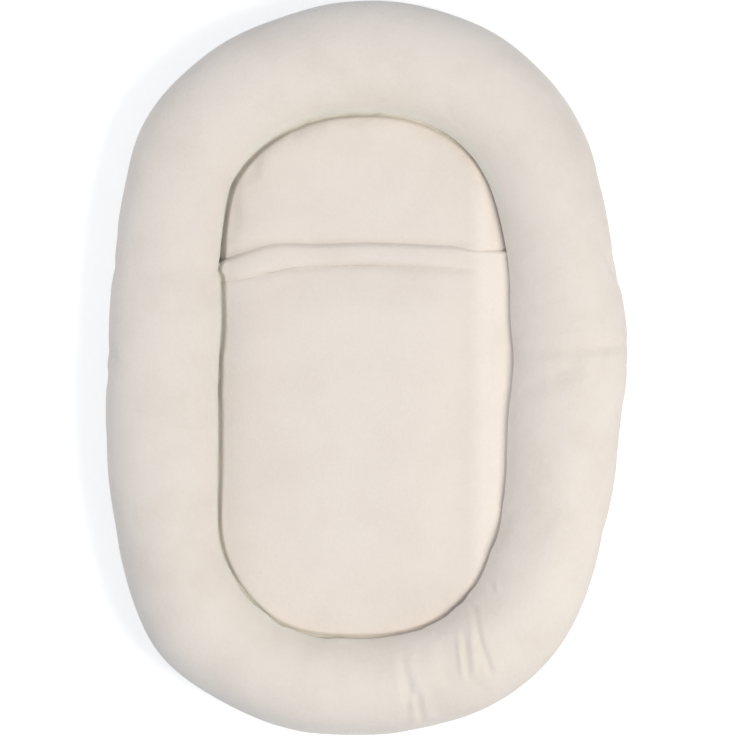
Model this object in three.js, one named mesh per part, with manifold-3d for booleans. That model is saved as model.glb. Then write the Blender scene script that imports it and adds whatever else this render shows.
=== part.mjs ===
// Infant lounger: an oval bolster ring round a removable pad, with a sleeping pocket sewn over the pad.
// Millimetres. +X is the infant's right as seen from above, +Y the head end, +Z up.
// The origin is on the floor, below the middle of the bolster's outline.
import * as THREE from "three";
import Module from "manifold-3d";
import { mergeVertices } from "three/addons/utils/BufferGeometryUtils.js";

// Driving dimensions
const overallLength = 850;
const overallWidth = 610;
const bolsterHeight = 120;
const wellLength = 609; // between the bolster's innermost points, head to foot
const wellWidth = 339;
const wellShiftX = -4.5; // the well's centre from the outline's centre
const wellShiftY = -10;
const seamGap = 0.3; // between neighbouring pieces that are sewn or laid together

// Outer outline of the bolster, as shares of half the width and half the length.
// It runs anticlockwise from the infant's right; the soft ring is not quite symmetrical.
const outlineShares = [
  [1.0, 0.05],
  [0.965, 0.23],
  [0.895, 0.48],
  [0.795, 0.69],
  [0.61, 0.85],
  [0.36, 0.955],
  [0.03, 1.0],
  [-0.3, 0.962],
  [-0.62, 0.85],
  [-0.845, 0.67],
  [-0.94, 0.43],
  [-0.985, 0.14],
  [-1.0, -0.1],
  [-0.968, -0.39],
  [-0.895, -0.62],
  [-0.745, -0.81],
  [-0.49, -0.935],
  [-0.15, -1.0],
  [0.2, -0.99],
  [0.52, -0.905],
  [0.77, -0.73],
  [0.91, -0.43],
  [0.975, -0.16],
];

// Well and pad outline: |x/a|^crossPower + |y/b|^lengthPower = 1
const crossPower = 2.2;
const lengthPower = 4.4;
const outlineDivisions = 4000;
const outlinePointCount = 400;
const stationCount = 48;

// Bolster section: a superellipse, flattened where it stands on the floor
const sectionPower = 2.1;
const flattening = 4; // how far the floor pushes the round section up
const seamHeight = 30; // outer seam between the top cover and the base
const innerSeamHeight = 15; // where the top cover meets the well floor
const coverThickness = 2;
const coverSteps = 9;

// Creases across the bolster's top: where they are, how deep, and how far along they reach
const sideCreaseY = 18;
const sideCreaseDepth = 5;
const footCreaseDepth = 4;
const creaseReach = 26;

// Base panel, under the bolster and across the well, where it is held clear of the floor
const baseThickness = 1.6;
const baseRecess = 8;
const baseRimSteps = 3;
const floorThickness = 1.6;
const floorClearance = 5.4; // base panel to well floor: room for the zip slider

// Fibre roll in its inner bag, laid round the ring with its ends meeting near the foot
const bagThickness = 1;
const rollEndGap = 6;
const rollEndX = 80;

// Pad
const padThickness = 40;
const padGap = 6.5; // bare pad cover to the bolster, all round
const padCoverThickness = 1.6;
const padCrown = 5;
const padEdgeDepth = 24; // how far the rounded edge reaches in over the top
const padEdgePower = 2.2;
const padEdgeSteps = 4;
const padTopShares = [0.4, 0.8]; // rings of the top face, from the middle to the edge

// Pocket: a lined, lightly wadded sheet sewn in the pad's side seam, with a turned-back cuff
const mouthFromHead = 161; // pad's head end to the mouth, at its two ends
const mouthBow = 7.8; // the mouth's middle lies this much nearer the head
const pocketLoft = 12; // empty pocket's height over the pad
const loftPower = 4;
const liningThickness = 1;
const waddingThickness = 2.5;
const waddingEdgeThickness = 0.6;
const sheetThickness = 1.2;
const cuffWidth = 26;
const cuffThickness = 3;
const cuffEdgeThickness = 1;
const cuffOverhang = 2;
const skirtLift = 1; // pocket's sewn edge above the pad's side seam

// Zip in the base panel
const zipLength = 380;
const slotWidth = 14;
const tapeWidth = 12;
const tapeThickness = 0.8;
const tapeOverlap = 8; // tape past the slot's ends
const coilWidth = 1.6;
const coilHeight = 2.2;
const coilGap = 1.6; // between the two rows, where the slider's neck runs
const stopLength = 4;
const stopHeight = 3.4;
const sliderLength = 13;
const sliderWidth = 9;
const sliderPlate = 1.5;
const neckClearance = 0.3;
const bridgeWidth = 2.8;
const bridgeLength = 9;
const bridgeWall = 1;
const bridgeOpening = 2;
const pullLength = 26;
const pullWidth = 7;
const pullThickness = 1.2;
const pullEyeLength = 5;
const pullEyeWidth = 4;
const pullCornerRadius = 2;
const overrun = 5; // every cut passes its solid by this much
const flatRingShare = 0.5; // where flat sheets have a ring of points, from the middle to the edge

// Colours
const fleece = { color: 0xe6ddd3, roughness: 0.95, metalness: 0 };
const fleecePad = { color: 0xe9dfd6, roughness: 0.95, metalness: 0 };
const cotton = { color: 0xe3ddd3, roughness: 0.9, metalness: 0 };
const nonwoven = { color: 0xf2f1ee, roughness: 0.95, metalness: 0 };
const fibre = { color: 0xfafaf8, roughness: 1, metalness: 0 };
const foam = { color: 0xf3ecd9, roughness: 0.95, metalness: 0 };
const zipFabric = { color: 0xe4dccf, roughness: 0.85, metalness: 0 };
const zipPlastic = { color: 0xe9e2d6, roughness: 0.4, metalness: 0 };
const zipMetal = { color: 0xc9c6c0, roughness: 0.35, metalness: 1 };

const wasm = await Module();
wasm.setup();

const lounger = new THREE.Group();

// Adds a named mesh to the lounger.
function addPart(name, geometry, finish) {
  const mesh = new THREE.Mesh(geometry, new THREE.MeshStandardMaterial(finish));
  mesh.name = name;
  mesh.geometry.computeVertexNormals();
  lounger.add(mesh);
  return mesh;
}

function signedPower(value, power) {
  return Math.sign(value) * Math.abs(value) ** power;
}

// Geometry from loops of equal count. Closed on itself if there are no poles,
// otherwise each end closes on its pole. From the turn on, the loops run back inside
// the first ones, and each square of faces is split along its other diagonal, so that
// a shell's two sides stay parallel.
function loopSurface(loops, firstPole, lastPole, turn = loops.length) {
  const count = loops[0].length;
  const points = loops.flat();
  const faces = [];
  const joined = firstPole ? loops.length - 1 : loops.length;
  for (let i = 0; i < joined; i++) {
    const here = i * count;
    const next = ((i + 1) % loops.length) * count;
    for (let j = 0; j < count; j++) {
      const k = (j + 1) % count;
      if (i < turn) faces.push(here + j, here + k, next + k, here + j, next + k, next + j);
      else faces.push(here + j, here + k, next + j, here + k, next + k, next + j);
    }
  }
  if (firstPole) {
    const last = (loops.length - 1) * count;
    points.push(firstPole, lastPole);
    for (let j = 0; j < count; j++) {
      const k = (j + 1) % count;
      faces.push(points.length - 2, k, j);
      faces.push(last + j, last + k, points.length - 1);
    }
  }
  const geometry = new THREE.BufferGeometry().setFromPoints(points);
  geometry.setIndex(faces);
  return turnedOut(geometry);
}

// The geometry with its faces pointing out, whichever way its loops ran.
function turnedOut(geometry) {
  const index = geometry.index.array;
  const at = (i) => new THREE.Vector3().fromBufferAttribute(geometry.attributes.position, i);
  let sixVolumes = 0;
  for (let i = 0; i < index.length; i += 3) {
    const [a, b, c] = [at(index[i]), at(index[i + 1]), at(index[i + 2])];
    sixVolumes += a.dot(b.cross(c));
  }
  if (sixVolumes < 0) {
    for (let i = 0; i < index.length; i += 3) {
      [index[i + 1], index[i + 2]] = [index[i + 2], index[i + 1]];
    }
  }
  return geometry;
}

// A geometry as a solid that can be cut or joined.
function solidOf(geometry) {
  const bare = geometry.clone();
  bare.deleteAttribute("normal");
  bare.deleteAttribute("uv");
  const merged = mergeVertices(bare);
  return new wasm.Manifold(
    new wasm.Mesh({
      numProp: 3,
      vertProperties: merged.attributes.position.array,
      triVerts: new Uint32Array(merged.index.array),
    }),
  );
}

function geometryOf(solid) {
  const mesh = solid.getMesh();
  const geometry = new THREE.BufferGeometry();
  geometry.setAttribute("position", new THREE.BufferAttribute(mesh.vertProperties, 3));
  geometry.setIndex(new THREE.BufferAttribute(mesh.triVerts, 1));
  return geometry;
}

// A box between two corners.
function boxBetween(low, high) {
  const size = new THREE.Vector3().subVectors(high, low);
  const middle = new THREE.Vector3().addVectors(low, high).divideScalar(2);
  return new THREE.BoxGeometry(size.x, size.y, size.z).translate(middle.x, middle.y, middle.z);
}

// The well's outline as a curve; the pad's outline is the same one, drawn in by an inset.
class WellOutline extends THREE.Curve {
  getPoint(t, target = new THREE.Vector3()) {
    const [x, y] = ovalPoint(2 * Math.PI * t, 0);
    return target.set(x, y, 0);
  }
}

function ovalPoint(angle, inset) {
  return [
    (wellWidth / 2 - inset) * signedPower(Math.cos(angle), 2 / crossPower),
    (wellLength / 2 - inset) * signedPower(Math.sin(angle), 2 / lengthPower),
  ];
}

// Outward direction of the well's outline at an angle.
function ovalNormal(angle) {
  const [x, y] = ovalPoint(angle, 0);
  const [a, b] = [wellWidth / 2, wellLength / 2];
  return new THREE.Vector2(
    (crossPower / a) * signedPower(x / a, crossPower - 1),
    (lengthPower / b) * signedPower(y / b, lengthPower - 1),
  ).normalize();
}

// Angles of the stations, evenly spaced along the well's edge.
const wellOutline = new WellOutline();
wellOutline.arcLengthDivisions = outlineDivisions;
const stationAngles = Array.from({ length: stationCount }, (_, k) => {
  return 2 * Math.PI * wellOutline.getUtoTmapping(k / stationCount);
});

// A level loop of the pad or the well, drawn in by an inset, or shrunk to a share of its size.
function levelLoop(inset, height, share = 1) {
  return stationAngles.map((angle) => {
    const [x, y] = ovalPoint(angle, inset);
    const z = typeof height === "function" ? height(x * share, y * share) : height;
    return new THREE.Vector3(wellShiftX + x * share, wellShiftY + y * share, z);
  });
}

function wellCentre(z) {
  return new THREE.Vector3(wellShiftX, wellShiftY, z);
}

// The bolster's outer outline: a smooth curve through its shares, fitted to the overall size
const outlineCurve = new THREE.CatmullRomCurve3(
  outlineShares.map(([x, y]) => new THREE.Vector3(x, y, 0)),
  true,
  "centripetal",
);
const outerPoints = outlineCurve.getPoints(outlinePointCount);
const outlineBox = new THREE.Box3().setFromPoints(outerPoints);
const outlineSpan = outlineBox.getSize(new THREE.Vector3());
const outlineMiddle = outlineBox.getCenter(new THREE.Vector3());
for (const point of outerPoints) {
  point.sub(outlineMiddle);
  point.x *= overallWidth / outlineSpan.x;
  point.y *= overallLength / outlineSpan.y;
}

// Distance from a point along a direction to the bolster's outer outline.
function distanceToOutline(from, direction) {
  let distance = Infinity;
  for (let i = 0; i + 1 < outerPoints.length; i++) {
    const edge = new THREE.Vector2(
      outerPoints[i + 1].x - outerPoints[i].x,
      outerPoints[i + 1].y - outerPoints[i].y,
    );
    const to = new THREE.Vector2(outerPoints[i].x - from.x, outerPoints[i].y - from.y);
    const cross = direction.cross(edge);
    const along = to.cross(edge) / cross;
    const onEdge = to.cross(direction) / cross;
    if (along > 0 && onEdge >= 0 && onEdge <= 1) distance = Math.min(distance, along);
  }
  return distance;
}

// Stations of the bolster ring: where each section's middle is, its half width and its direction
const stations = stationAngles.map((angle) => {
  const [x, y] = ovalPoint(angle, 0);
  const inner = new THREE.Vector2(wellShiftX + x, wellShiftY + y);
  const direction = ovalNormal(angle);
  const halfWidth = distanceToOutline(inner, direction) / 2;
  return { middle: inner.clone().addScaledVector(direction, halfWidth), direction, halfWidth };
});

// The section's round outline, from its centre height and half height
const sectionHalfHeight = (bolsterHeight + flattening) / 2;
const sectionCentre = bolsterHeight - sectionHalfHeight;

// How far the creases draw in the bolster's top at a station.
function creaseAt(station) {
  const { middle } = station;
  const fade = (distance) => Math.exp(-((distance / creaseReach) ** 2));
  const side = middle.x > 0 ? sideCreaseDepth * fade(middle.y - sideCreaseY) : 0;
  const foot = middle.y < 0 ? footCreaseDepth * fade(middle.x - rollEndX) : 0;
  return side + foot;
}

// A point of a station's section. Angle 0 points out of the ring, a quarter turn up.
function sectionPoint(station, angle, inset) {
  const across = (station.halfWidth - inset) * signedPower(Math.cos(angle), 2 / sectionPower);
  const crease = Math.sin(angle) > 0 ? creaseAt(station) : 0;
  const rise = sectionHalfHeight - inset - crease;
  const up = rise * signedPower(Math.sin(angle), 2 / sectionPower);
  return new THREE.Vector3(
    station.middle.x + station.direction.x * across,
    station.middle.y + station.direction.y * across,
    Math.max(sectionCentre + up, inset),
  );
}

// The section's angle at a height below its centre, on the outer side.
function angleAtHeight(height) {
  return -Math.asin(((sectionCentre - height) / sectionHalfHeight) ** (sectionPower / 2));
}

// Angles from one to another in even steps.
function angleSteps(from, to, steps) {
  return Array.from({ length: steps + 1 }, (_, i) => from + ((to - from) * i) / steps);
}

// Section angles of the top cover, from the outer seam over the top to the inner seam,
// and of the base panel, on from under the well to the outer seam. The filling follows both,
// so that every layer is parallel to the next.
const coverAngles = angleSteps(
  angleAtHeight(seamHeight + seamGap),
  Math.PI - angleAtHeight(innerSeamHeight),
  coverSteps,
);
const baseAngles = [
  Math.PI - angleAtHeight(baseRecess),
  Math.PI - angleAtHeight(0),
  ...angleSteps(angleAtHeight(0), angleAtHeight(seamHeight), baseRimSteps),
];
const rollAngles = [...coverAngles, ...baseAngles.slice(0, -1)];

// Loops round the ring at the given section angles.
function ringLoops(angles, inset) {
  return angles.map((angle) => stations.map((station) => sectionPoint(station, angle, inset)));
}

function bolsterCover() {
  const outside = ringLoops(coverAngles, 0);
  const inside = ringLoops(coverAngles, coverThickness).reverse();
  return loopSurface([...outside, ...inside], null, null, outside.length);
}

function basePanel() {
  const level = baseRecess + baseThickness;
  const rim = ringLoops(baseAngles, baseThickness);
  rim[0].forEach((point) => point.setZ(level));
  const under = [
    levelLoop(0, baseRecess, flatRingShare),
    levelLoop(0, baseRecess),
    ...ringLoops(baseAngles, 0),
  ];
  const over = [...rim.reverse(), levelLoop(0, level), levelLoop(0, level, flatRingShare)];
  const slot = boxBetween(
    new THREE.Vector3(wellShiftX - slotWidth / 2, wellShiftY - zipLength / 2, -overrun),
    new THREE.Vector3(wellShiftX + slotWidth / 2, wellShiftY + zipLength / 2, level + overrun),
  );
  const poles = [wellCentre(baseRecess), wellCentre(level)];
  const panel = solidOf(loopSurface([...under, ...over], ...poles, under.length));
  return geometryOf(panel.subtract(solidOf(slot)));
}

// Well floor: the flat sheet that the pad lies on, sewn to the top cover's inner edge
const floorBottom = baseRecess + baseThickness + floorClearance;
const floorTop = floorBottom + floorThickness;

function wellFloor() {
  const edge = (height) => {
    const angle = Math.PI - angleAtHeight(height);
    return stations.map((station) => sectionPoint(station, angle, -seamGap).setZ(height));
  };
  const loops = [
    levelLoop(0, floorBottom, flatRingShare),
    edge(floorBottom),
    edge(floorTop),
    levelLoop(0, floorTop, flatRingShare),
  ];
  return loopSurface(loops, wellCentre(floorBottom), wellCentre(floorTop));
}

// The roll's loops round the ring, from one end to the other. Its ends face each other
// across a narrow gap, in the segment of the foot that holds rollEndX.
function rollLoops(inset) {
  const loops = stations.map((station) => {
    return rollAngles.map((angle) => sectionPoint(station, angle, inset));
  });
  const split = stations.findIndex((station, k) => {
    const next = stations[(k + 1) % stationCount];
    return station.middle.y < 0 && station.middle.x <= rollEndX && next.middle.x > rollEndX;
  });
  const next = (split + 1) % stationCount;
  const span = stations[split].middle.distanceTo(stations[next].middle);
  const between = (share) => loops[split].map((point, i) => point.clone().lerp(loops[next][i], share));
  const ordered = [...loops.slice(next), ...loops.slice(0, next)];
  return [between((1 + rollEndGap / span) / 2), ...ordered, between((1 - rollEndGap / span) / 2)];
}

const bagInset = coverThickness + seamGap;
const fillingInset = bagInset + bagThickness + seamGap;

function rollBag() {
  const outside = rollLoops(bagInset);
  const inside = rollLoops(bagInset + bagThickness).reverse();
  return loopSurface([...outside, ...inside], null, null, outside.length);
}

function rollFilling() {
  const loops = rollLoops(fillingInset);
  const middleOf = (loop) => {
    const sum = loop.reduce((total, point) => total.add(point), new THREE.Vector3());
    return sum.divideScalar(loop.length);
  };
  return loopSurface(loops, middleOf(loops[0]), middleOf(loops.at(-1)));
}

// Pad: heights of its faces, and the rounded edge between them
const padBottom = floorTop + seamGap;
const padTop = padBottom + padThickness;
const padMiddle = (padBottom + padTop) / 2;

// Rings of the pad's surface, grown by an offset, from a quarter turn at the top or bottom
// of the rounded edge (side 1 or -1) out to its side.
function padEdgeLoops(offset, side, lift = 0) {
  const rise = padThickness / 2 + offset;
  return Array.from({ length: padEdgeSteps + 1 }, (_, i) => {
    const angle = ((Math.PI / 2) * (padEdgeSteps - i)) / padEdgeSteps;
    const inset = padEdgeDepth * (1 - Math.abs(Math.cos(angle)) ** (2 / padEdgePower));
    const up = Math.max(rise * Math.sin(angle) ** (2 / padEdgePower), lift);
    return levelLoop(padGap - offset + inset, padMiddle + side * up);
  });
}

// Rings of the pad's crowned top, from its middle to the rounded edge.
function padTopLoops(offset) {
  const inset = padGap - offset + padEdgeDepth;
  return padTopShares.map((share) => {
    return levelLoop(inset, padTop + offset + padCrown * (1 - share ** 2), share);
  });
}

function padCoverTop() {
  const surface = (offset) => [...padTopLoops(offset), ...padEdgeLoops(offset, 1, seamGap / 2)];
  const [outer, inner] = [surface(0), surface(-padCoverThickness).reverse()];
  const crown = padTop + padCrown;
  const poles = [wellCentre(crown), wellCentre(crown - padCoverThickness)];
  return loopSurface([...outer, ...inner], ...poles, outer.length);
}

function padCoverBottom() {
  const surface = (offset) => padEdgeLoops(offset, -1, seamGap / 2);
  const [outer, inner] = [surface(0), surface(-padCoverThickness).reverse()];
  const poles = [wellCentre(padBottom), wellCentre(padBottom + padCoverThickness)];
  return loopSurface([...outer, ...inner], ...poles, outer.length);
}

function padCore() {
  const offset = -padCoverThickness - seamGap;
  const over = [...padTopLoops(offset), ...padEdgeLoops(offset, 1)];
  const under = padEdgeLoops(offset, -1).reverse().slice(1);
  const loops = [...over, ...under];
  return loopSurface(loops, wellCentre(padTop + padCrown + offset), wellCentre(padBottom - offset));
}

// Pocket layers follow the pad's top, grown by an edge offset at its side and
// by more than that, up to the loft, over its middle.
function pocketLoops(edgeOffset, middleOffset) {
  const reach = wellWidth / 2 - padGap - padEdgeDepth;
  const surface = (offset) => [...padTopLoops(offset), ...padEdgeLoops(offset, 1, skirtLift)];
  const plan = surface(0);
  return surface(edgeOffset).map((loop, i) => {
    return loop.map((point, j) => {
      const [x, y] = [plan[i][j].x - wellShiftX, plan[i][j].y - wellShiftY];
      const outwards = Math.min(Math.hypot(x / reach, y / (wellLength / 2)), 1) ** loftPower;
      return point.setZ(point.z + (middleOffset - edgeOffset) * (1 - outwards));
    });
  });
}

// A layer of the pocket over the whole pad, before its head end is cut away.
function pocketLayer({ lowEdge, lowMiddle, highEdge, highMiddle }) {
  const over = pocketLoops(highEdge, highMiddle);
  const under = pocketLoops(lowEdge, lowMiddle).reverse();
  const crown = padTop + padCrown;
  const poles = [wellCentre(crown + highMiddle), wellCentre(crown + lowMiddle)];
  return solidOf(loopSurface([...over, ...under], ...poles, over.length));
}

// Everything on the head side of the mouth's bowed line, moved towards the head by a shift.
function headSide(shift) {
  const end = wellShiftY + wellLength / 2 - padGap - mouthFromHead + shift;
  const far = wellShiftY + wellLength / 2 + overrun;
  const half = wellWidth / 2 + overrun;
  const outline = new THREE.Shape();
  outline.moveTo(wellShiftX - half, end);
  outline.quadraticCurveTo(wellShiftX, end + 2 * mouthBow, wellShiftX + half, end);
  outline.lineTo(wellShiftX + half, far + Math.abs(shift));
  outline.lineTo(wellShiftX - half, far + Math.abs(shift));
  outline.closePath();
  const depth = bolsterHeight + 2 * overrun;
  return solidOf(new THREE.ExtrudeGeometry(outline, { depth, bevelEnabled: false }));
}

// Pocket's layers, from the pad up. Each has its offsets from the pad's surface, below and
// above, at the sewn edge and in the middle.
function stackedLayer(below, edgeThickness, middleThickness) {
  const lowEdge = below.highEdge + seamGap;
  const lowMiddle = below.highMiddle + seamGap;
  return {
    lowEdge,
    lowMiddle,
    highEdge: lowEdge + edgeThickness,
    highMiddle: lowMiddle + middleThickness,
  };
}

const hollow = { highEdge: 0, highMiddle: pocketLoft };
const lining = stackedLayer(hollow, liningThickness, liningThickness);
const wadding = stackedLayer(lining, waddingEdgeThickness, waddingThickness);
const sheet = stackedLayer(wadding, sheetThickness, sheetThickness);
const cuff = stackedLayer(sheet, cuffEdgeThickness, cuffThickness);

function pocketPiece(layer) {
  return geometryOf(pocketLayer(layer).subtract(headSide(0)));
}

function pocketCuff() {
  const band = headSide(cuffOverhang - cuffWidth).subtract(headSide(cuffOverhang));
  return geometryOf(pocketLayer(cuff).intersect(band));
}

// Zip: levels of its parts, counted from the tape's middle
const tapeBottom = baseRecess + baseThickness + seamGap;
const chainMiddle = tapeBottom + tapeThickness / 2;
const coilInner = coilGap / 2;
const coilOuter = coilInner + coilWidth;
const zipHead = wellShiftY + zipLength / 2;
const zipFoot = wellShiftY - zipLength / 2;

// A box beside the zip's line, on one side of it (1 or -1).
function besideZip(side, fromX, toX, fromY, toY, fromZ, toZ) {
  const [a, b] = [wellShiftX + side * fromX, wellShiftX + side * toX];
  return boxBetween(
    new THREE.Vector3(Math.min(a, b), fromY, fromZ),
    new THREE.Vector3(Math.max(a, b), toY, toZ),
  );
}

function zipTape(side) {
  const edge = coilOuter + seamGap;
  const [foot, head] = [zipFoot - tapeOverlap, zipHead + tapeOverlap];
  return besideZip(side, edge, edge + tapeWidth, foot, head, tapeBottom, tapeBottom + tapeThickness);
}

function zipCoil(side) {
  const [low, high] = [chainMiddle - coilHeight / 2, chainMiddle + coilHeight / 2];
  const ends = stopLength + seamGap;
  return besideZip(side, coilInner, coilOuter, zipFoot + ends, zipHead - ends, low, high);
}

// A stop grips both rows at one end of the chain.
function zipStop(foot) {
  return boxBetween(
    new THREE.Vector3(wellShiftX - coilOuter, foot, chainMiddle - stopHeight / 2),
    new THREE.Vector3(wellShiftX + coilOuter, foot + stopLength, chainMiddle + stopHeight / 2),
  );
}

// Slider: two plates either side of the chain, joined by the neck that runs between the rows
const plateInner = coilHeight / 2 + neckClearance;
const sliderFoot = zipFoot + stopLength + 2 * seamGap;
const sliderMiddle = sliderFoot + sliderLength / 2;
const plateBottom = chainMiddle - plateInner - sliderPlate;
const pivotHeight = plateBottom - bridgeOpening / 2;

function zipSlider() {
  const plate = sliderWidth / 2;
  const outer = plateInner + sliderPlate;
  const neck = coilGap / 2 - neckClearance;
  const profile = [
    [-plate, -outer],
    [plate, -outer],
    [plate, -plateInner],
    [neck, -plateInner],
    [neck, plateInner],
    [plate, plateInner],
    [plate, outer],
    [-plate, outer],
    [-plate, plateInner],
    [-neck, plateInner],
    [-neck, -plateInner],
    [-plate, -plateInner],
  ].map(([x, z]) => new THREE.Vector2(x, z));
  const body = new THREE.ExtrudeGeometry(new THREE.Shape(profile), {
    depth: sliderLength,
    bevelEnabled: false,
  });
  body.rotateX(Math.PI / 2).translate(wellShiftX, sliderFoot + sliderLength, chainMiddle);
  const strapBottom = plateBottom - bridgeOpening - bridgeWall;
  const strapTop = plateBottom + sliderPlate / 2;
  const strap = boxBetween(
    new THREE.Vector3(wellShiftX - bridgeWidth / 2, sliderMiddle - bridgeLength / 2, strapBottom),
    new THREE.Vector3(wellShiftX + bridgeWidth / 2, sliderMiddle + bridgeLength / 2, strapTop),
  );
  const opening = bridgeLength / 2 - bridgeWall;
  const hole = boxBetween(
    new THREE.Vector3(wellShiftX - bridgeWidth, sliderMiddle - opening, plateBottom - bridgeOpening),
    new THREE.Vector3(wellShiftX + bridgeWidth, sliderMiddle + opening, plateBottom),
  );
  return geometryOf(solidOf(body).add(solidOf(strap).subtract(solidOf(hole))));
}

// Pull tab: a flat tab whose end bar runs through the slider's bridge
function zipPull() {
  const half = pullWidth / 2;
  const bar = pullThickness / 2;
  const tip = pullLength - bar;
  const outline = new THREE.Shape();
  outline.moveTo(-half, -bar);
  outline.lineTo(half, -bar);
  outline.lineTo(half, tip - pullCornerRadius);
  outline.quadraticCurveTo(half, tip, half - pullCornerRadius, tip);
  outline.lineTo(pullCornerRadius - half, tip);
  outline.quadraticCurveTo(-half, tip, -half, tip - pullCornerRadius);
  outline.closePath();
  const eye = new THREE.Path();
  eye.moveTo(-pullEyeWidth / 2, bar);
  eye.lineTo(-pullEyeWidth / 2, bar + pullEyeLength);
  eye.lineTo(pullEyeWidth / 2, bar + pullEyeLength);
  eye.lineTo(pullEyeWidth / 2, bar);
  eye.closePath();
  outline.holes.push(eye);
  const tab = new THREE.ExtrudeGeometry(outline, { depth: pullThickness, bevelEnabled: false });
  return tab.translate(wellShiftX, sliderMiddle, pivotHeight - bar);
}

addPart("bolster_cover", bolsterCover(), fleece);
addPart("base_panel", basePanel(), cotton);
addPart("well_floor", wellFloor(), cotton);
addPart("roll_bag", rollBag(), nonwoven);
addPart("roll_filling", rollFilling(), fibre);
addPart("pad_core", padCore(), foam);
addPart("pad_cover_top", padCoverTop(), fleecePad);
addPart("pad_cover_bottom", padCoverBottom(), cotton);
addPart("pocket_lining", pocketPiece(lining), cotton);
addPart("pocket_wadding", pocketPiece(wadding), fibre);
addPart("pocket_sheet", pocketPiece(sheet), fleecePad);
addPart("pocket_cuff", pocketCuff(), fleecePad);
addPart("zip_tape_left", zipTape(-1), zipFabric);
addPart("zip_tape_right", zipTape(1), zipFabric);
addPart("zip_coil_left", zipCoil(-1), zipPlastic);
addPart("zip_coil_right", zipCoil(1), zipPlastic);
addPart("zip_stop_head", zipStop(zipHead - stopLength), zipMetal);
addPart("zip_stop_foot", zipStop(zipFoot), zipMetal);
addPart("zip_slider", zipSlider(), zipMetal);
addPart("zip_pull", zipPull(), zipMetal);

export default lounger;
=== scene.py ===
import math
from functools import partial

import bmesh
import bpy
import numpy as np
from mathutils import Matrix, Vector, noise
from mathutils.bvhtree import BVHTree


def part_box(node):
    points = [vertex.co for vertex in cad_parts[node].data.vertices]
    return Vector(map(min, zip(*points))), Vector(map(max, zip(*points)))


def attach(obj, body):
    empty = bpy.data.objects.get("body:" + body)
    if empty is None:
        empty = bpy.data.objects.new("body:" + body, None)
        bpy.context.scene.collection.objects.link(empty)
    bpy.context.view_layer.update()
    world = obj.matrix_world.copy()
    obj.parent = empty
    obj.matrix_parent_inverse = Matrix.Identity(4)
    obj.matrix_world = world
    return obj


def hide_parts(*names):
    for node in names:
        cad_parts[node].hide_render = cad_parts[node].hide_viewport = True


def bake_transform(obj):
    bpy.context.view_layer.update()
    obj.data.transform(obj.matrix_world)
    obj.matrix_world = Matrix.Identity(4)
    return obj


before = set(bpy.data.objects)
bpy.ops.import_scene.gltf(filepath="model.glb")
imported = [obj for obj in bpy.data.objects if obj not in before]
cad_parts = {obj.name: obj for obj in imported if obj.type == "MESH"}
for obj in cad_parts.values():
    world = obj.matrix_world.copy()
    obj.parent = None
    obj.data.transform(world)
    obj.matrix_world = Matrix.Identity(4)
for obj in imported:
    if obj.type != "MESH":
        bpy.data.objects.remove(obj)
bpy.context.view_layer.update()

# Sizes that the frame gives, in metres
pad_low, pad_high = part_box("pad_cover_top")
pad_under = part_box("pad_cover_bottom")[0].z
ring_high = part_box("bolster_cover")[1]
floor_low, floor_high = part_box("well_floor")

# The well's outline: an oval, a little square across and very square along
PAD_GAP = 0.0065  # between the outline and the pad's solid
WELL_X = (pad_low.x + pad_high.x) / 2
WELL_Y = (pad_low.y + pad_high.y) / 2
WELL_HALF_X = (pad_high.x - pad_low.x) / 2 + PAD_GAP
WELL_HALF_Y = (pad_high.y - pad_low.y) / 2 + PAD_GAP
CROSS_POWER = 2.2
LENGTH_POWER = 4.4
CAD_STATIONS = 48  # places round the ring where the width of the solid is measured
STATIONS = 240  # places round the ring where the cloth has a row of points

# Bolster section: an oval, a little square, that stands on its flattened underside
RING_TOP = 0.12
FLATTENING = 0.004
SECTION_POWER = 2.1
SECTION_HALF = (RING_TOP + FLATTENING) / 2
SECTION_CENTRE = RING_TOP - SECTION_HALF
SEAM_HEIGHT = 0.030  # of the outer seam between cover and base
INNER_SEAM_HEIGHT = 0.0155  # of the seam between cover and well floor
BASE_RECESS = 0.008  # how far the base cloth stands off the ground below the well
COVER_THICKNESS, BASE_THICKNESS, FLOOR_THICKNESS = 0.0018, 0.0012, 0.0010
BAG_THICKNESS = 0.0006
BAG_INSET, ROLL_INSET = 0.0032, 0.0048  # how far inside the cover they lie
ROLL_END_X = 0.080  # where the roll's two ends meet at the foot
ROLL_END_BULGE = 0.004
ROLL_END_SHARES = (0.97, 0.9, 0.78, 0.6, 0.35, 0.12)  # of the roll's width, towards its tip
COVER_STEPS, UNDER_STEPS = 44, 6  # rows of squares from seam to seam, and below
RING_LUMPS = [(0.07, 3.1, 0.0011), (0.025, 8.2, 0.0004)]  # size, seed and height
RING_SLACK = 0.002  # the cover starts this far inside, and is then pressed out
SLACK_LOW, SLACK_RISE = 0.01, 0.03  # the slack grows from this height on, over this length
HELD_HEIGHT = 0.02  # the ring's cloth is held below this
FOLD_RISE = 0.03  # how far above the outer seam a fold has its full depth
LEAN_RISE = 0.02  # how far above the inner seam the inner wall leans in to the full
SEAM_TUCK = 0.0014  # how far the seams draw the cover in
EDGE_CLEARANCE = 0.0003  # between the bolster's inner wall and the pocket's edge
FLOOR_LIFT = 0.0006  # of the floor sheet over the middle of its solid
FLOOR_LUMPS = (0.05, 4.4, 0.0004)
FLOOR_LUMPS_SHARE = 0.98  # of the radius, beyond which the floor sheet is even
BASE_ALLOWANCE = 0.03  # the base cloth is cut this much larger, to turn up to its seam
BASE_FILL, FLOOR_FILL = 0.80, 0.87  # the ovals' areas, as shares of the boxes round them

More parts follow.
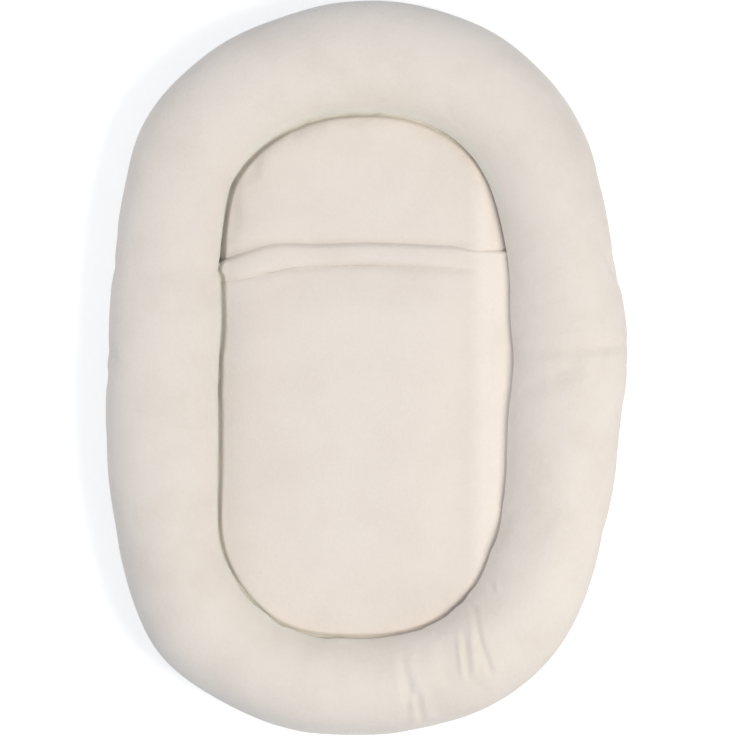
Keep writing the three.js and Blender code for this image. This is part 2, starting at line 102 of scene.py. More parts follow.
# Pad and pocket
PAD_CROWN = 0.005
PAD_EDGE_DEPTH = 0.0125  # how far in the pad's rounded edge reaches
PAD_EDGE_POWER = 2.4
EDGE_SHARE = 0.80  # of a disc's radius, where that edge begins
PAD_LOFT = 0.003  # the fleece over the foam stands up this much
PAD_TOP = pad_high.z - PAD_CROWN + PAD_LOFT
PAD_SEAM = (PAD_TOP + pad_under) / 2
PAD_RISE = PAD_TOP - PAD_SEAM
PAD_LUMPS = (0.05, 5.5, 0.0006)
PAD_CLOTH = 0.0015  # thickness of the pad's covers
PAD_SEAM_BAND = 0.002  # the pad's cloth is held this near to its seam
CORE_INSET, CORE_DROP = 0.0035, 0.001  # how far the foam lies inside the covers, and lower
CORE_FLOOR = 0.0019  # how far it stays off the ground of the pad's solid
PAD_SQUARES, CORE_SQUARES, POCKET_SQUARES = 88, 48, 100  # along one side of each disc's grid
PAD_CROWD_AT, POCKET_CROWD_AT = 0.010, -0.012  # where rows lie closest, from the mouth's line
LEAST_RISE = 0.001  # keeps the rim of a layer a little above the pad's seam
MOUTH_END_Y = 0.1270  # where the pocket's mouth meets the pad's sides
MOUTH_BOW = 0.0085  # how far its middle lies nearer to the head
MOUTH_DROOP, DROOP_REACH = 0.0084, 0.24  # how far its left end droops, and along how much of it
LOFT_POWER = 1.6
POCKET_LUMPS = (0.09, 1.3, 0.0012)
PUCKER_RISE = 0.006  # how high over the pad the pocket's ripples and folds are in full
SHEET_LOFT = 0.0176  # height of the pocket's outer sheet over the pad's middle
POCKET_EDGE = 0.0037  # thickness of the pocket's layers at their sewn edge
# Of the pocket's layers: height at the sewn edge, height over the pad's middle, and thickness
SHEET_SIZES = (POCKET_EDGE, SHEET_LOFT, 0.0011)
WADDING_SIZES = (0.0022, 0.0158, 0.0006)
LINING_SIZES = (0.0013, 0.0132, 0.0008)
# The groove between pad and bolster: how deep it is at head and foot and how wide its slope is,
# and how much more each is at the left and at the right
GROOVE_DEPTH, GROOVE_DEPTH_LEFT, GROOVE_DEPTH_RIGHT = 0.0072, 0.0028, -0.0060
GROOVE_SLOPE, GROOVE_SLOPE_LEFT, GROOVE_SLOPE_RIGHT = 0.0039, 0.0015, 0.0004
GROOVE_END = 0.0016  # how far inside the well's outline the groove's bottom reaches
# Where the groove lies further out: angle and spread in degrees, and metres
GROOVE_SHIFTS = [(236, 11, 0.0016), (249, 10, 0.0028)]
GROOVE_FADE = 0.014  # below the groove the cloth is less and less drawn down
# The bolster's inner side lies this far inside the well's outline, and this much more at the right
LIP_INSET, LIP_INSET_RIGHT = 0.0010, 0.0040
SIDE_GROWTH = 0.0068  # how much further the soft pad reaches than its solid
PAD_INSET = PAD_GAP - SIDE_GROWTH
MOUTH_VALLEY = 0.0021  # how deep the pad dips in front of the pocket
VALLEY_PLACE, VALLEY_REACH = 0.0112, 0.0085  # in front of the mouth's line, and how wide

# The photograph in pixels, the width that it shows in metres, and the camera over it
PHOTO_SIZE, PHOTO_CENTRE = 736, 368
FRAME_WIDTH = 0.8560
CAMERA_HEIGHT = 3.4


def signed_power(value, power):
    return np.sign(value) * np.abs(value) ** power


def eased(share):
    """A share from 0 to 1 with a gentle start and end."""
    share = np.clip(share, 0, 1)
    return share * share * (3 - 2 * share)


def hump(away, reach):
    """1 at a place, and less and less away from it."""
    return np.exp(-((away / reach) ** 2))


def edge_rise(share):
    """How high the pad's rounded edge stands, as a share, this share of its depth outwards."""
    return (1 - share**PAD_EDGE_POWER) ** (1 / PAD_EDGE_POWER)


def oval(angles, inset=0.0):
    """Points of the well's outline about its centre, drawn in by an inset."""
    x = (WELL_HALF_X - inset) * signed_power(np.cos(angles), 2 / CROSS_POWER)
    y = (WELL_HALF_Y - inset) * signed_power(np.sin(angles), 2 / LENGTH_POWER)
    return np.stack([x, y], axis=-1)


def oval_normal(angles):
    x, y = np.moveaxis(oval(angles), -1, 0)
    across = CROSS_POWER / WELL_HALF_X * signed_power(x / WELL_HALF_X, CROSS_POWER - 1)
    along = LENGTH_POWER / WELL_HALF_Y * signed_power(y / WELL_HALF_Y, LENGTH_POWER - 1)
    normal = np.stack([across, along], axis=-1)
    return normal / np.linalg.norm(normal, axis=-1, keepdims=True)


DENSE_ANGLES = np.linspace(0, 2 * math.pi, 4001)
DENSE_STEPS = np.linalg.norm(np.diff(oval(DENSE_ANGLES), axis=0), axis=1)
DENSE_LENGTHS = np.concatenate([[0], np.cumsum(DENSE_STEPS)])


def angles_at(shares):
    """Angles at the given shares of the way round the well's edge."""
    return np.interp(shares * DENSE_LENGTHS[-1], DENSE_LENGTHS, DENSE_ANGLES)


def round_table(turns, table_turns, values):
    """Values of a table of directions, read at other directions."""
    order = np.argsort(table_turns)
    return np.interp(turns, table_turns[order], values[order], period=2 * math.pi)


EDGE_ANGLES = np.linspace(0, 2 * math.pi, 721)[:-1]
EDGE_TURNS = np.arctan2(*oval(EDGE_ANGLES).T[::-1])
EDGE_REACH = np.linalg.norm(oval(EDGE_ANGLES), axis=1)
EDGE_LEAN = np.sum(oval(EDGE_ANGLES) * oval_normal(EDGE_ANGLES), axis=1) / EDGE_REACH
WELL_EDGE = oval(EDGE_ANGLES) + (WELL_X, WELL_Y)


def well_reach(turns):
    """How far the well's outline lies from the origin in each direction."""
    edge_turns = np.arctan2(WELL_EDGE[:, 1], WELL_EDGE[:, 0])
    return round_table(turns, edge_turns, np.linalg.norm(WELL_EDGE, axis=1))


def mesh_object(name, points, faces):
    mesh = bpy.data.meshes.new(name)
    mesh.from_pydata([tuple(p) for p in points], [], faces)
    mesh.validate()
    piece = bpy.data.objects.new(name, mesh)
    bpy.context.scene.collection.objects.link(piece)
    for polygon in mesh.polygons:
        polygon.use_smooth = True
    return piece


def vectors(items, label):
    """A vector of each item, as rows."""
    values = np.zeros(len(items) * 3)
    items.foreach_get(label, values)
    return values.reshape(-1, 3)


def coordinates(piece):
    return vectors(piece.data.vertices, "co")


def move_points(piece, points):
    piece.data.vertices.foreach_set("co", points.ravel())
    piece.data.update()


def only(piece):
    """Makes the piece the active and only selected one."""
    bpy.ops.object.select_all(action="DESELECT")
    piece.select_set(True)
    bpy.context.view_layer.objects.active = piece


def apply_modifiers(piece):
    only(piece)
    for modifier in list(piece.modifiers):
        bpy.ops.object.modifier_apply(modifier=modifier.name)


def subdivided(piece, levels=1):
    modifier = piece.modifiers.new("Smooth", "SUBSURF")
    modifier.levels = modifier.render_levels = levels
    apply_modifiers(piece)
    return piece


def thickened(piece, thickness, offset=-1.0):
    modifier = piece.modifiers.new("Thickness", "SOLIDIFY")
    modifier.thickness = thickness
    modifier.offset = offset
    modifier.use_even_offset = True
    apply_modifiers(piece)
    return piece


def edited(piece, *steps):
    """Runs operators, each with its settings, on all of the piece's mesh."""
    only(piece)
    bpy.ops.object.mode_set(mode="EDIT")
    bpy.ops.mesh.select_all(action="SELECT")
    for operator, settings in steps:
        operator(**settings)
    bpy.ops.object.mode_set(mode="OBJECT")
    return piece


def outward(piece):
    """Merges points that coincide, and turns the faces outwards."""
    merge = (bpy.ops.mesh.remove_doubles, {"threshold": 0.00002})
    turn = (bpy.ops.mesh.normals_make_consistent, {"inside": False})
    return edited(piece, merge, turn)


def cut_across(piece, place, normal, clear=False):
    """Cuts the piece's faces along a plane, and may clear what lies beyond it."""
    plane = {"plane_co": place, "plane_no": normal, "clear_outer": clear}
    edited(piece, (bpy.ops.mesh.bisect, plane))


def keep_faces(piece, wanted, close=False):
    """Deletes the faces whose middle isn't wanted, and may close the hole with one face."""
    mesh = bmesh.new()
    mesh.from_mesh(piece.data)
    away = [f for f in mesh.faces if not wanted(f.calc_center_median())]
    bmesh.ops.delete(mesh, geom=away, context="FACES")
    if close:
        bmesh.ops.contextual_create(mesh, geom=[e for e in mesh.edges if e.is_boundary])
    mesh.to_mesh(piece.data)
    mesh.free()


def primitive(name, operator, **settings):
    """A new piece from one of Blender's own forms."""
    bpy.ops.object.select_all(action="DESELECT")
    operator(**settings)
    piece = bpy.context.active_object
    piece.name = name
    return piece


def copied(piece, name):
    """A copy of the piece with a mesh of its own."""
    other = piece.copy()
    other.data = piece.data.copy()
    other.name = name
    bpy.context.scene.collection.objects.link(other)
    return other


def swell(piece, pressure, cap, pinned, growth, stiffness=12.0, frames=20):
    """How far each point moves when the piece is pressed out as cloth, always less than cap."""
    start = coordinates(piece)
    group = piece.vertex_groups.new(name="held")
    group.add([int(i) for i in np.flatnonzero(pinned)], 1.0, "REPLACE")
    cloth = piece.modifiers.new("Cloth", "CLOTH")
    settings = cloth.settings
    settings.vertex_group_mass = "held"
    settings.use_pressure = True
    settings.uniform_pressure_force = pressure
    settings.tension_stiffness = stiffness
    settings.compression_stiffness = stiffness
    settings.shear_stiffness = stiffness / 2
    settings.bending_stiffness = 0.6
    settings.shrink_min = -growth
    settings.effector_weights.gravity = 0
    cloth.point_cache.frame_start = 1
    cloth.point_cache.frame_end = frames
    scene = bpy.context.scene
    for step in range(1, frames + 1):
        scene.frame_set(step)
    graph = bpy.context.evaluated_depsgraph_get()
    result = piece.evaluated_get(graph).to_mesh()
    shift = vectors(result.vertices, "co") - start
    piece.evaluated_get(graph).to_mesh_clear()
    piece.modifiers.remove(cloth)
    piece.vertex_groups.remove(group)
    scene.frame_set(1)
    length = np.linalg.norm(shift, axis=1, keepdims=True)
    kept = cap * np.tanh(length / cap)
    return shift * kept / np.maximum(length, 1e-9)


def unevenness(points, size, seed, height):
    """Smooth noise at each point, with lumps of the given size and height."""
    shift = Vector((seed, seed * 1.7, seed * 0.3))
    return np.array([noise.noise(Vector(p) / size + shift) for p in points]) * height


def stand_in(piece, body, node, slot, made, fill=None, **sheet):
    """Puts a piece in a node's place, on a body, and gives it its material."""
    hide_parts(node)
    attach(piece, body)
    finish(piece, made)


def photo_place(x, y):
    """Where a pixel of the photograph lies, at the height of the bolster's widest part."""
    scale = FRAME_WIDTH / PHOTO_SIZE
    return np.array([(x - PHOTO_CENTRE) * scale, (PHOTO_CENTRE - y) * scale])


LIP_SHARE = 0.6  # how strongly the cloth rises beside a fold
FOLD_END, FOLD_FADE = 0.02, 14  # how far a fold runs past its ends, and how fast it fades there


def wrinkle(points, start, end, width, depth):
    """How far a fold between two pixels draws in each point: a valley with raised lips."""
    a, b = photo_place(*start), photo_place(*end)
    along = (b - a) / np.linalg.norm(b - a)
    offset = points[:, :2] - a
    run = offset @ along / np.linalg.norm(b - a)
    side = (offset @ np.array([-along[1], along[0]])) / width
    begun = np.clip((run + FOLD_END) * FOLD_FADE, -50, 50)
    ended = np.clip((run - 1 - FOLD_END) * FOLD_FADE, -50, 50)
    fade = 1 / (1 + np.exp(-begun)) / (1 + np.exp(ended))
    return depth * (1 - LIP_SHARE * side**2) * np.exp(-(side**2) / 2) * fade


# Bolster ring


# Where round the ring the folds are, as shares of the way, how far they reach, and how many times
# closer the stations lie there
CROWDS = [(0.815, 0.035, 2.6), (0.01, 0.03, 1.3)]


def station_shares(count):
    """Places of the stations on the way round, closer together where the cover's folds are."""
    way = np.linspace(0, 1, 4001)
    crowd = np.ones_like(way)
    for place, reach, more in CROWDS:
        crowd += more * (hump(way - place, reach) + hump(way - 1 - place, reach))
    total = np.concatenate([[0], np.cumsum((crowd[1:] + crowd[:-1]) / 2)])
    return np.interp(np.arange(count) / count * total[-1], total, way)


def ring_stations(shares):
    """For each station: the section's middle, its outward direction and its half width."""
    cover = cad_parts["bolster_cover"]
    tree = BVHTree.FromPolygons(
        [v.co for v in cover.data.vertices], [p.vertices for p in cover.data.polygons]
    )
    angles = angles_at(np.arange(CAD_STATIONS) / CAD_STATIONS)
    inner = oval(angles) + (WELL_X, WELL_Y)
    reach = ring_high.x
    half = []
    for place, direction in zip(inner, oval_normal(angles)):
        far = Vector((*(place + direction * reach), SECTION_CENTRE))
        hit = tree.ray_cast(far, Vector((*-direction, 0)))
        half.append((reach - hit[3]) / 2)
    waves = np.fft.rfft(half) / CAD_STATIONS
    turns = np.exp(2j * math.pi * np.outer(shares, np.arange(len(waves))))
    doubled = np.where(np.arange(len(waves)) % (CAD_STATIONS // 2) == 0, 1, 2)
    half = np.real(turns @ (waves * doubled))
    angles = angles_at(shares)
    direction = oval_normal(angles)
    middle = oval(angles) + (WELL_X, WELL_Y) + direction * half[:, None]
    return middle, direction, half


SHARES = station_shares(STATIONS)
MIDDLES, DIRECTIONS, HALF_WIDTHS = ring_stations(SHARES)


def section_angle(height):
    """The section's angle at a height below its centre, on the outer side."""
    return -math.asin(((SECTION_CENTRE - height) / SECTION_HALF) ** (SECTION_POWER / 2))


def ring_points(angles, inset=0.0):
    """Points of the ring, one row for each section angle."""
    angles = np.asarray(angles)[:, None]
    across = (HALF_WIDTHS - inset) * signed_power(np.cos(angles), 2 / SECTION_POWER)
    up = (SECTION_HALF - inset) * signed_power(np.sin(angles), 2 / SECTION_POWER)
    flat = MIDDLES + DIRECTIONS * across[..., None]
    height = np.broadcast_to(np.maximum(SECTION_CENTRE + up, inset), across.shape)
    return np.concatenate([flat, height[..., None]], axis=-1)


OUTER_SEAM = section_angle(SEAM_HEIGHT)
INNER_SEAM = math.pi - section_angle(INNER_SEAM_HEIGHT)
RECESS = math.pi - section_angle(BASE_RECESS)
FOOT_INNER = math.pi - section_angle(0)
FOOT_OUTER = 2 * math.pi + section_angle(0)
COVER_ANGLES = np.linspace(OUTER_SEAM, INNER_SEAM, COVER_STEPS + 1)
UNDER_ANGLES = np.concatenate(
    [
        [RECESS],
        np.linspace(FOOT_INNER, FOOT_OUTER, UNDER_STEPS),
        np.linspace(FOOT_OUTER, 2 * math.pi + OUTER_SEAM, UNDER_STEPS)[1:],
    ]
)


def band_faces(rows, count, closed_rows=False, closed_columns=True):
    """Squares between rows of points. What is closed runs on from the last to the first."""
    faces = []
    for i in range(rows if closed_rows else rows - 1):
        a, b = i * count, (i + 1) % rows * count
        for j in range(count if closed_columns else count - 1):
            k = (j + 1) % count
            faces.append((a + j, a + k, b + k, b + j))
    return faces


def disc_grid(count):
    """A square grid laid over a disc: each point's share of the radius and of the way round.

    The points on the disc's edge are evenly spaced.
    """
    line = np.linspace(-1, 1, count + 1)
    u, v = (a.ravel() for a in np.meshgrid(line, line, indexing="ij"))
    x, y = u * np.sqrt(1 - v**2 / 2), v * np.sqrt(1 - u**2 / 2)
    angle = np.arctan2(y, x)
    quarter = np.round(angle / (math.pi / 2))
    turns = (quarter + np.sin(angle - quarter * math.pi / 2) / math.sqrt(2)) / 4 % 1
    faces = []
    for i in range(count):
        for j in range(count):
            a = i * (count + 1) + j
            faces.append((a, a + count + 1, a + count + 2, a + 1))
    return np.hypot(x, y), turns, faces


def disc_points(edge, height):
    """Points of a flat disc inside a row of the ring, its edge on the row's own points."""
    shares, turns, faces = disc_grid(STATIONS // 4)
    closed = np.concatenate([edge, edge[:1]])
    place = turns * STATIONS
    rim = [np.interp(place, np.arange(STATIONS + 1), closed[:, axis]) for axis in (0, 1)]
    centre = np.array([WELL_X, WELL_Y])
    flat = centre + (np.stack(rim, axis=-1) - centre) * shares[:, None]
    return np.column_stack([flat, np.full(len(flat), height)]), shares, faces


# Folds of the bolster's cover, in pixels of the photograph: start, end, width and depth in metres
RING_FOLDS = [
    ((401, 652), (409, 688), 0.0050, 0.0026),
    ((408, 676), (410, 708), 0.0066, 0.0026),
    ((417, 688), (422, 718), 0.0042, 0.0026),
    ((412, 696), (414, 720), 0.0034, -0.0020),
    ((411, 636), (415, 656), 0.0060, -0.0012),
    ((457, 630), (461, 668), 0.0034, -0.0017),
    ((463, 636), (467, 672), 0.0030, 0.0019),
    ((470, 630), (474, 668), 0.0034, -0.0017),
    ((474, 612), (479, 642), 0.0036, 0.0022),
    ((479, 638), (489, 670), 0.0046, 0.0026),
    ((446, 630), (454, 632), 0.0034, -0.0012),
    ((470, 597), (482, 609), 0.0034, -0.0015),
    ((469, 603), (475, 609), 0.0036, 0.0018),
    ((488, 578), (492, 590), 0.0034, 0.0018),
    ((495, 580), (497, 588), 0.0030, -0.0014),
    ((440, 640), (446, 676), 0.0110, 0.0020),
    ((520, 352), (604, 347), 0.0085, 0.0028),
    ((596, 347), (632, 344), 0.0075, 0.0026),
    ((548, 376), (578, 364), 0.0130, 0.0030),
    ((516, 392), (540, 384), 0.0100, 0.0022),
    ((560, 330), (610, 322), 0.0120, -0.0014),
    ((596, 368), (618, 366), 0.0110, -0.0014),
    ((536, 300), (575, 292), 0.0120, 0.0012),
    ((255, 590), (266, 602), 0.0060, 0.0012),
    ((234, 600), (250, 622), 0.0090, 0.0014),
    ((252, 168), (264, 154), 0.0060, 0.0012),
    ((445, 112), (452, 122), 0.0040, 0.0013),
    ((459, 128), (466, 136), 0.0036, 0.0011),
    ((474, 140), (486, 132), 0.0050, 0.0012),
    ((488, 158), (502, 150), 0.0060, 0.0014),
    ((178, 300), (212, 306), 0.0100, 0.0010),
    ((150, 452), (206, 446), 0.0130, 0.0014),
    ((130, 276), (176, 268), 0.0150, 0.0012),
    ((165, 560), (205, 540), 0.0130, 0.0014),
    ((330, 655), (336, 690), 0.0120, 0.0010),
    ((390, 70), (402, 104), 0.0100, 0.0008),
    ((300, 30), (312, 60), 0.0110, 0.0009),
]
SIDEWAYS_SHARE = 0.35  # how much of a fold's depth goes sideways, where the cover is steep

# The stuffed ring lies unevenly. Round the middle of the lounger: angle and spread in degrees, and
# how far the edge of the well, or the outer outline, is pushed out there, in metres
WELL_BULGES = [
    (10, 42, 0.0030),
    (2, 17, 0.0056),
    (32, 11, 0.0036),
    (88, 15, 0.0018),
    (126, 9, 0.0050),
    (160, 15, -0.0038),
    (231, 10, 0.0098),
    (252, 12, 0.0050),
    (301, 13, -0.0062),
]
OUTLINE_BULGES = [
    (0, 24, -0.0028),
    (30, 7, -0.0024),
    (58, 14, -0.0026),
    (180, 8, 0.0022),
    (233, 7, 0.0052),
    (257, 9, 0.0040),
    (310, 8, -0.0030),
    (330, 16, -0.0014),
]
OUTLINE_TURNS = np.arctan2(*(MIDDLES + DIRECTIONS * HALF_WIDTHS[:, None]).T[::-1])
OUTLINE_REACH = np.linalg.norm(MIDDLES + DIRECTIONS * HALF_WIDTHS[:, None], axis=1)
STILL_HEIGHT = 0.008  # what lies this low stays put
STILL_SHARE = 0.85  # of the way to the well's edge, within which the push fades towards the middle


def bulge(turns, bulges):
    """How far a list of bulges pushes in each direction."""
    total = np.zeros_like(turns)
    for angle, spread, push in bulges:
        away = (np.degrees(turns) - angle + 180) % 360 - 180
        total += push * hump(away, spread)
    return total


def settled(points):
    """The points as the uneven stuffing pushes them, most at the well's edge and the outline."""
    turns = np.arctan2(points[..., 1], points[..., 0])
    reach = np.hypot(points[..., 0], points[..., 1])
    edge = well_reach(turns)
    outline = round_table(turns, OUTLINE_TURNS, OUTLINE_REACH)
    inside = eased(reach / (STILL_SHARE * edge))
    across = eased((reach - edge) / (outline - edge))
    push = bulge(turns, WELL_BULGES) * inside * (1 - across)
    push = push + bulge(turns, OUTLINE_BULGES) * across
    push = push * eased((points[..., 2] - STILL_HEIGHT) / STILL_HEIGHT)
    moved = points.copy()
    moved[..., 0] += push * np.cos(turns)
    moved[..., 1] += push * np.sin(turns)
    return moved


CUFF_BULGE, CUFF_BULGE_Y, CUFF_BULGE_REACH = 0.0045, 0.1150, 0.0062


def cuff_bulge(places):
    """How far the cuff's thick left end pushes the bolster aside."""
    push = CUFF_BULGE * hump(places[..., 1] - CUFF_BULGE_Y, CUFF_BULGE_REACH)
    return push * (places[..., 0] < WELL_X)


def sunk(points):
    """The points of the pad and pocket drawn down into the groove beside the bolster."""
    x, y = points[..., 0] - WELL_X, points[..., 1] - WELL_Y
    turns = np.arctan2(y, x)
    inside = round_table(turns, EDGE_TURNS, EDGE_REACH) - np.hypot(x, y)
    inside = inside * round_table(turns, EDGE_TURNS, EDGE_LEAN) + cuff_bulge(points)
    share = np.clip(1 - (inside + POCKET_EDGE - PAD_INSET) / PAD_EDGE_DEPTH, 0, 1)
    top = (PAD_RISE + POCKET_EDGE) * edge_rise(share)
    left, right = np.maximum(-np.cos(turns), 0), np.maximum(np.cos(turns), 0)
    depth = GROOVE_DEPTH + GROOVE_DEPTH_LEFT * left + GROOVE_DEPTH_RIGHT * right
    bottom = PAD_RISE + POCKET_EDGE - depth
    slope = GROOVE_SLOPE + GROOVE_SLOPE_LEFT * left + GROOVE_SLOPE_RIGHT * right
    end = GROOVE_END - bulge(turns, GROOVE_SHIFTS)
    down = np.maximum(top - bottom, 0) * eased((end + slope - inside) / slope)
    down = down * eased((points[..., 2] - PAD_SEAM - bottom + GROOVE_FADE) / GROOVE_FADE)
    moved = points.copy()
    moved[..., 2] -= down
    return moved


def bolster_shape():
    """The ring's shape once it is stuffed: rows of points from seam to seam, and on below."""
    angles = np.concatenate([COVER_ANGLES, UNDER_ANGLES[:-1]])
    count = len(angles)
    points = ring_points(angles).reshape(-1, 3)
    tube = mesh_object("bolster_shape", points, band_faces(count, STATIONS, True))
    outward(tube)
    lumps = sum(unevenness(points, *lump) for lump in RING_LUMPS)
    middle = np.concatenate([MIDDLES, np.full((STATIONS, 1), SECTION_CENTRE)], axis=1)
    middle = np.tile(middle, (count, 1))
    out = points - middle
    out /= np.linalg.norm(out, axis=1, keepdims=True)
    lift = np.clip((points[:, 2] - SLACK_LOW) / SLACK_RISE, 0, 1)
    move_points(tube, points - out * (RING_SLACK - lumps)[:, None] * lift[:, None])
    held = points[:, 2] < HELD_HEIGHT
    shift = swell(tube, pressure=3.0, cap=0.005, pinned=held, growth=0.02)
    points = coordinates(tube) + shift
    bpy.data.objects.remove(tube)
    points = lean_in(points.reshape(count, STATIONS, 3), angles)
    for row, amount in ((0, 1.0), (1, 0.25), (count - 1, 0.35)):  # the seam and its neighbours
        points[row] -= out.reshape(points.shape)[row] * SEAM_TUCK * amount
    return settled(points), settled(middle.reshape(points.shape))


def fold_in(piece):
    """Draws the cover's folds into a piece of the bolster, towards the middle of its section."""
    points = coordinates(piece)
    nearest = []
    for part in np.array_split(points[:, None, :2], len(points) // 20000 + 1):
        nearest.append(np.argmin(np.sum((part - MIDDLES[None]) ** 2, axis=2), axis=1))
    nearest = np.concatenate(nearest)
    outwards = np.sum((points[:, :2] - MIDDLES[nearest]) * DIRECTIONS[nearest], axis=1)
    out = np.column_stack(
        [DIRECTIONS[nearest] * outwards[:, None], points[:, 2] - SECTION_CENTRE]
    )
    out /= np.maximum(np.linalg.norm(out, axis=1, keepdims=True), 1e-6)
    folds = sum(wrinkle(points, *fold) for fold in RING_FOLDS)
    upper = np.clip((points[:, 2] - SEAM_HEIGHT) / FOLD_RISE, 0, 1)
    draw = out * (SIDEWAYS_SHARE, SIDEWAYS_SHARE, 1)
    move_points(piece, points - draw * (folds * upper)[:, None])


def lean_in(points, angles):
    """Brings the inner wall, station by station, to the pad's or the pocket's edge."""
    edge = oval(angles_at(SHARES)) + (WELL_X, WELL_Y)
    edge = edge + DIRECTIONS * cuff_bulge(edge)[:, None]
    reach = np.max(np.sum((edge - points[..., :2]) * DIRECTIONS, axis=2), axis=0)
    right = np.maximum(DIRECTIONS[:, 0], 0) ** 2 * (edge[:, 0] > WELL_X)
    missing = LIP_INSET + LIP_INSET_RIGHT * right - reach
    inner = np.clip(-np.cos(angles), 0, 1)[:, None] ** 1.5
    inner = inner * np.clip((points[..., 2] - INNER_SEAM_HEIGHT) / LEAN_RISE, 0, 1)
    points[..., :2] -= DIRECTIONS * (missing * inner)[..., None]
    height = np.clip((points[..., 2] - PAD_SEAM) / (PAD_RISE + POCKET_EDGE), 0, 0.999)
    room = PAD_EDGE_DEPTH * (1 - edge_rise(height))
    reach = np.sum((edge - points[..., :2]) * DIRECTIONS, axis=2)
    over = np.maximum(reach - (PAD_INSET - POCKET_EDGE + room - EDGE_CLEARANCE), 0)
    points[..., :2] += DIRECTIONS * over[..., None]
    return points


def make_bolster():
    shape, middle = bolster_shape()
    cover_rows = len(COVER_ANGLES)
    points = shape[:cover_rows].reshape(-1, 3)
    cover = mesh_object("bolster_top_cover", points, band_faces(cover_rows, STATIONS))
    subdivided(thickened(outward(cover), COVER_THICKNESS))
    fold_in(cover)
    stand_in(cover, "bolster", "bolster_cover", "fleece", fleece, fill=0.85)
    make_base(np.concatenate([shape[cover_rows:], shape[:1]]))
    make_floor_sheet(shape[cover_rows - 1])
    make_bag(drawn_in(shape, middle, BAG_INSET))
    make_roll(drawn_in(shape, middle, ROLL_INSET))


def make_base(under):
    """Base cloth: from the outer seam under the bolster, then flat across, with the zip's slot."""
    inner, _, faces = disc_points(under[0], BASE_RECESS)
    band = under[1:].reshape(-1, 3)
    rim = [int(np.argmin(np.linalg.norm(inner - p, axis=1))) for p in under[0]]
    first = len(inner)
    for j in range(STATIONS):
        k = (j + 1) % STATIONS
        faces.append((rim[j], rim[k], first + k, first + j))
    faces += [tuple(first + i for i in f) for f in band_faces(len(under) - 1, STATIONS)]
    base = mesh_object("base_cloth", np.concatenate([inner, band]), faces)
    outward(base)
    cut_slot(base)
    thickened(base, BASE_THICKNESS)
    flat = (2 * ring_high.x + BASE_ALLOWANCE, 2 * ring_high.y + BASE_ALLOWANCE)
    area = BASE_FILL * flat[0] * flat[1]
    stand_in(base, "bolster", "base_panel", "cotton", cotton, flat=flat, area=area)


def make_floor_sheet(seam):
    """The sheet below the pad, sewn to the bolster's cover all round."""
    height = (floor_low.z + floor_high.z) / 2 + FLOOR_LIFT
    points, shares, faces = disc_points(seam, height)
    points[:, 2] += unevenness(points, *FLOOR_LUMPS) * (shares < FLOOR_LUMPS_SHARE)
    sheet = mesh_object("well_floor_sheet", points, faces)
    thickened(outward(sheet), FLOOR_THICKNESS)
    flat = (floor_high.x - floor_low.x, floor_high.y - floor_low.y)
    area = FLOOR_FILL * flat[0] * flat[1]
    stand_in(sheet, "bolster", "well_floor", "cotton", cotton, flat=flat, area=area)


def drawn_in(shape, middle, inset):
    """The shape's points nearer to the middle of their section, ordered from the roll's split."""
    out = shape - middle
    length = np.linalg.norm(out, axis=2, keepdims=True)
    points = shape - out / length * inset
    foot = (MIDDLES[:, 1] < WELL_Y) & (MIDDLES[:, 0] > ROLL_END_X)
    split = int(np.flatnonzero(foot)[0])
    return np.roll(points, -split, axis=1)


def make_bag(rows):
    """Inner bag round the filling, with its two ends at the bolster's foot."""
    faces = band_faces(*rows.shape[:2], closed_rows=True, closed_columns=False)
    bag = mesh_object("filling_bag", rows.reshape(-1, 3), faces)
    thickened(outward(bag), BAG_THICKNESS)
    fold_in(bag)
    stand_in(bag, "bolster", "roll_bag", "nonwoven", nonwoven, fill=0.85)


def make_roll(rows):
    """Fibre filling: a roll bent round the well, each end rounded."""
    rows = np.swapaxes(rows, 0, 1)
    loops = list(rows)
    for first, inner in ((0, 1), (-1, -2)):
        end = rows[first]
        centre = end.mean(axis=0)
        along = centre - rows[inner].mean(axis=0)
        along /= np.linalg.norm(along)
        capped = []
        for share in ROLL_END_SHARES:
            beyond = ROLL_END_BULGE * math.sqrt(1 - share**2)
            capped.append(centre + (end - centre) * share + along * beyond)
        loops = capped[::-1] + loops if first == 0 else loops + capped
    points = np.array(loops).reshape(-1, 3)
    points[:, 2] = np.maximum(points[:, 2], ROLL_INSET)
    count = rows.shape[1]
    faces = band_faces(len(loops), count)
    faces += [tuple(range(count)), tuple(range(len(points) - count, len(points)))]
    roll = mesh_object("fibre_roll", points, faces)
    outward(roll)
    fold_in(roll)
    stand_in(roll, "bolster", "roll_filling", "fibre", fibre, fill=0.85)


SLOT_HALF, SLOT_HALF_LENGTH = 0.007, 0.190


def cut_slot(base):
    """Opens the base cloth along the zip."""
    for place in (WELL_X - SLOT_HALF, WELL_X + SLOT_HALF):
        cut_across(base, (place, 0, 0), (1, 0, 0))
    for place in (WELL_Y - SLOT_HALF_LENGTH, WELL_Y + SLOT_HALF_LENGTH):
        cut_across(base, (0, place, 0), (0, 1, 0))
    keep_faces(
        base,
        lambda at: abs(at.x - WELL_X) >= SLOT_HALF or abs(at.y - WELL_Y) >= SLOT_HALF_LENGTH,
    )


# Pad


def mouth_y(x):
    """The mouth's line: it bows towards the head in the middle, and droops at the left."""
    share = (x - WELL_X) / WELL_HALF_X
    droop = MOUTH_DROOP * hump(share + 1, DROOP_REACH)
    return MOUTH_END_Y + MOUTH_BOW * (1 - share**2) - droop


# Where the pad lies bare at the head it is thicker by this much: from this far before the mouth,
# in full after this length, and from this share of the disc's radius outwards
BARE_RISE = POCKET_EDGE - 0.0004
BARE_START, BARE_BLEND = 0.001, 0.006
BARE_SHARE, BARE_SHARE_BLEND = 0.70, 0.2


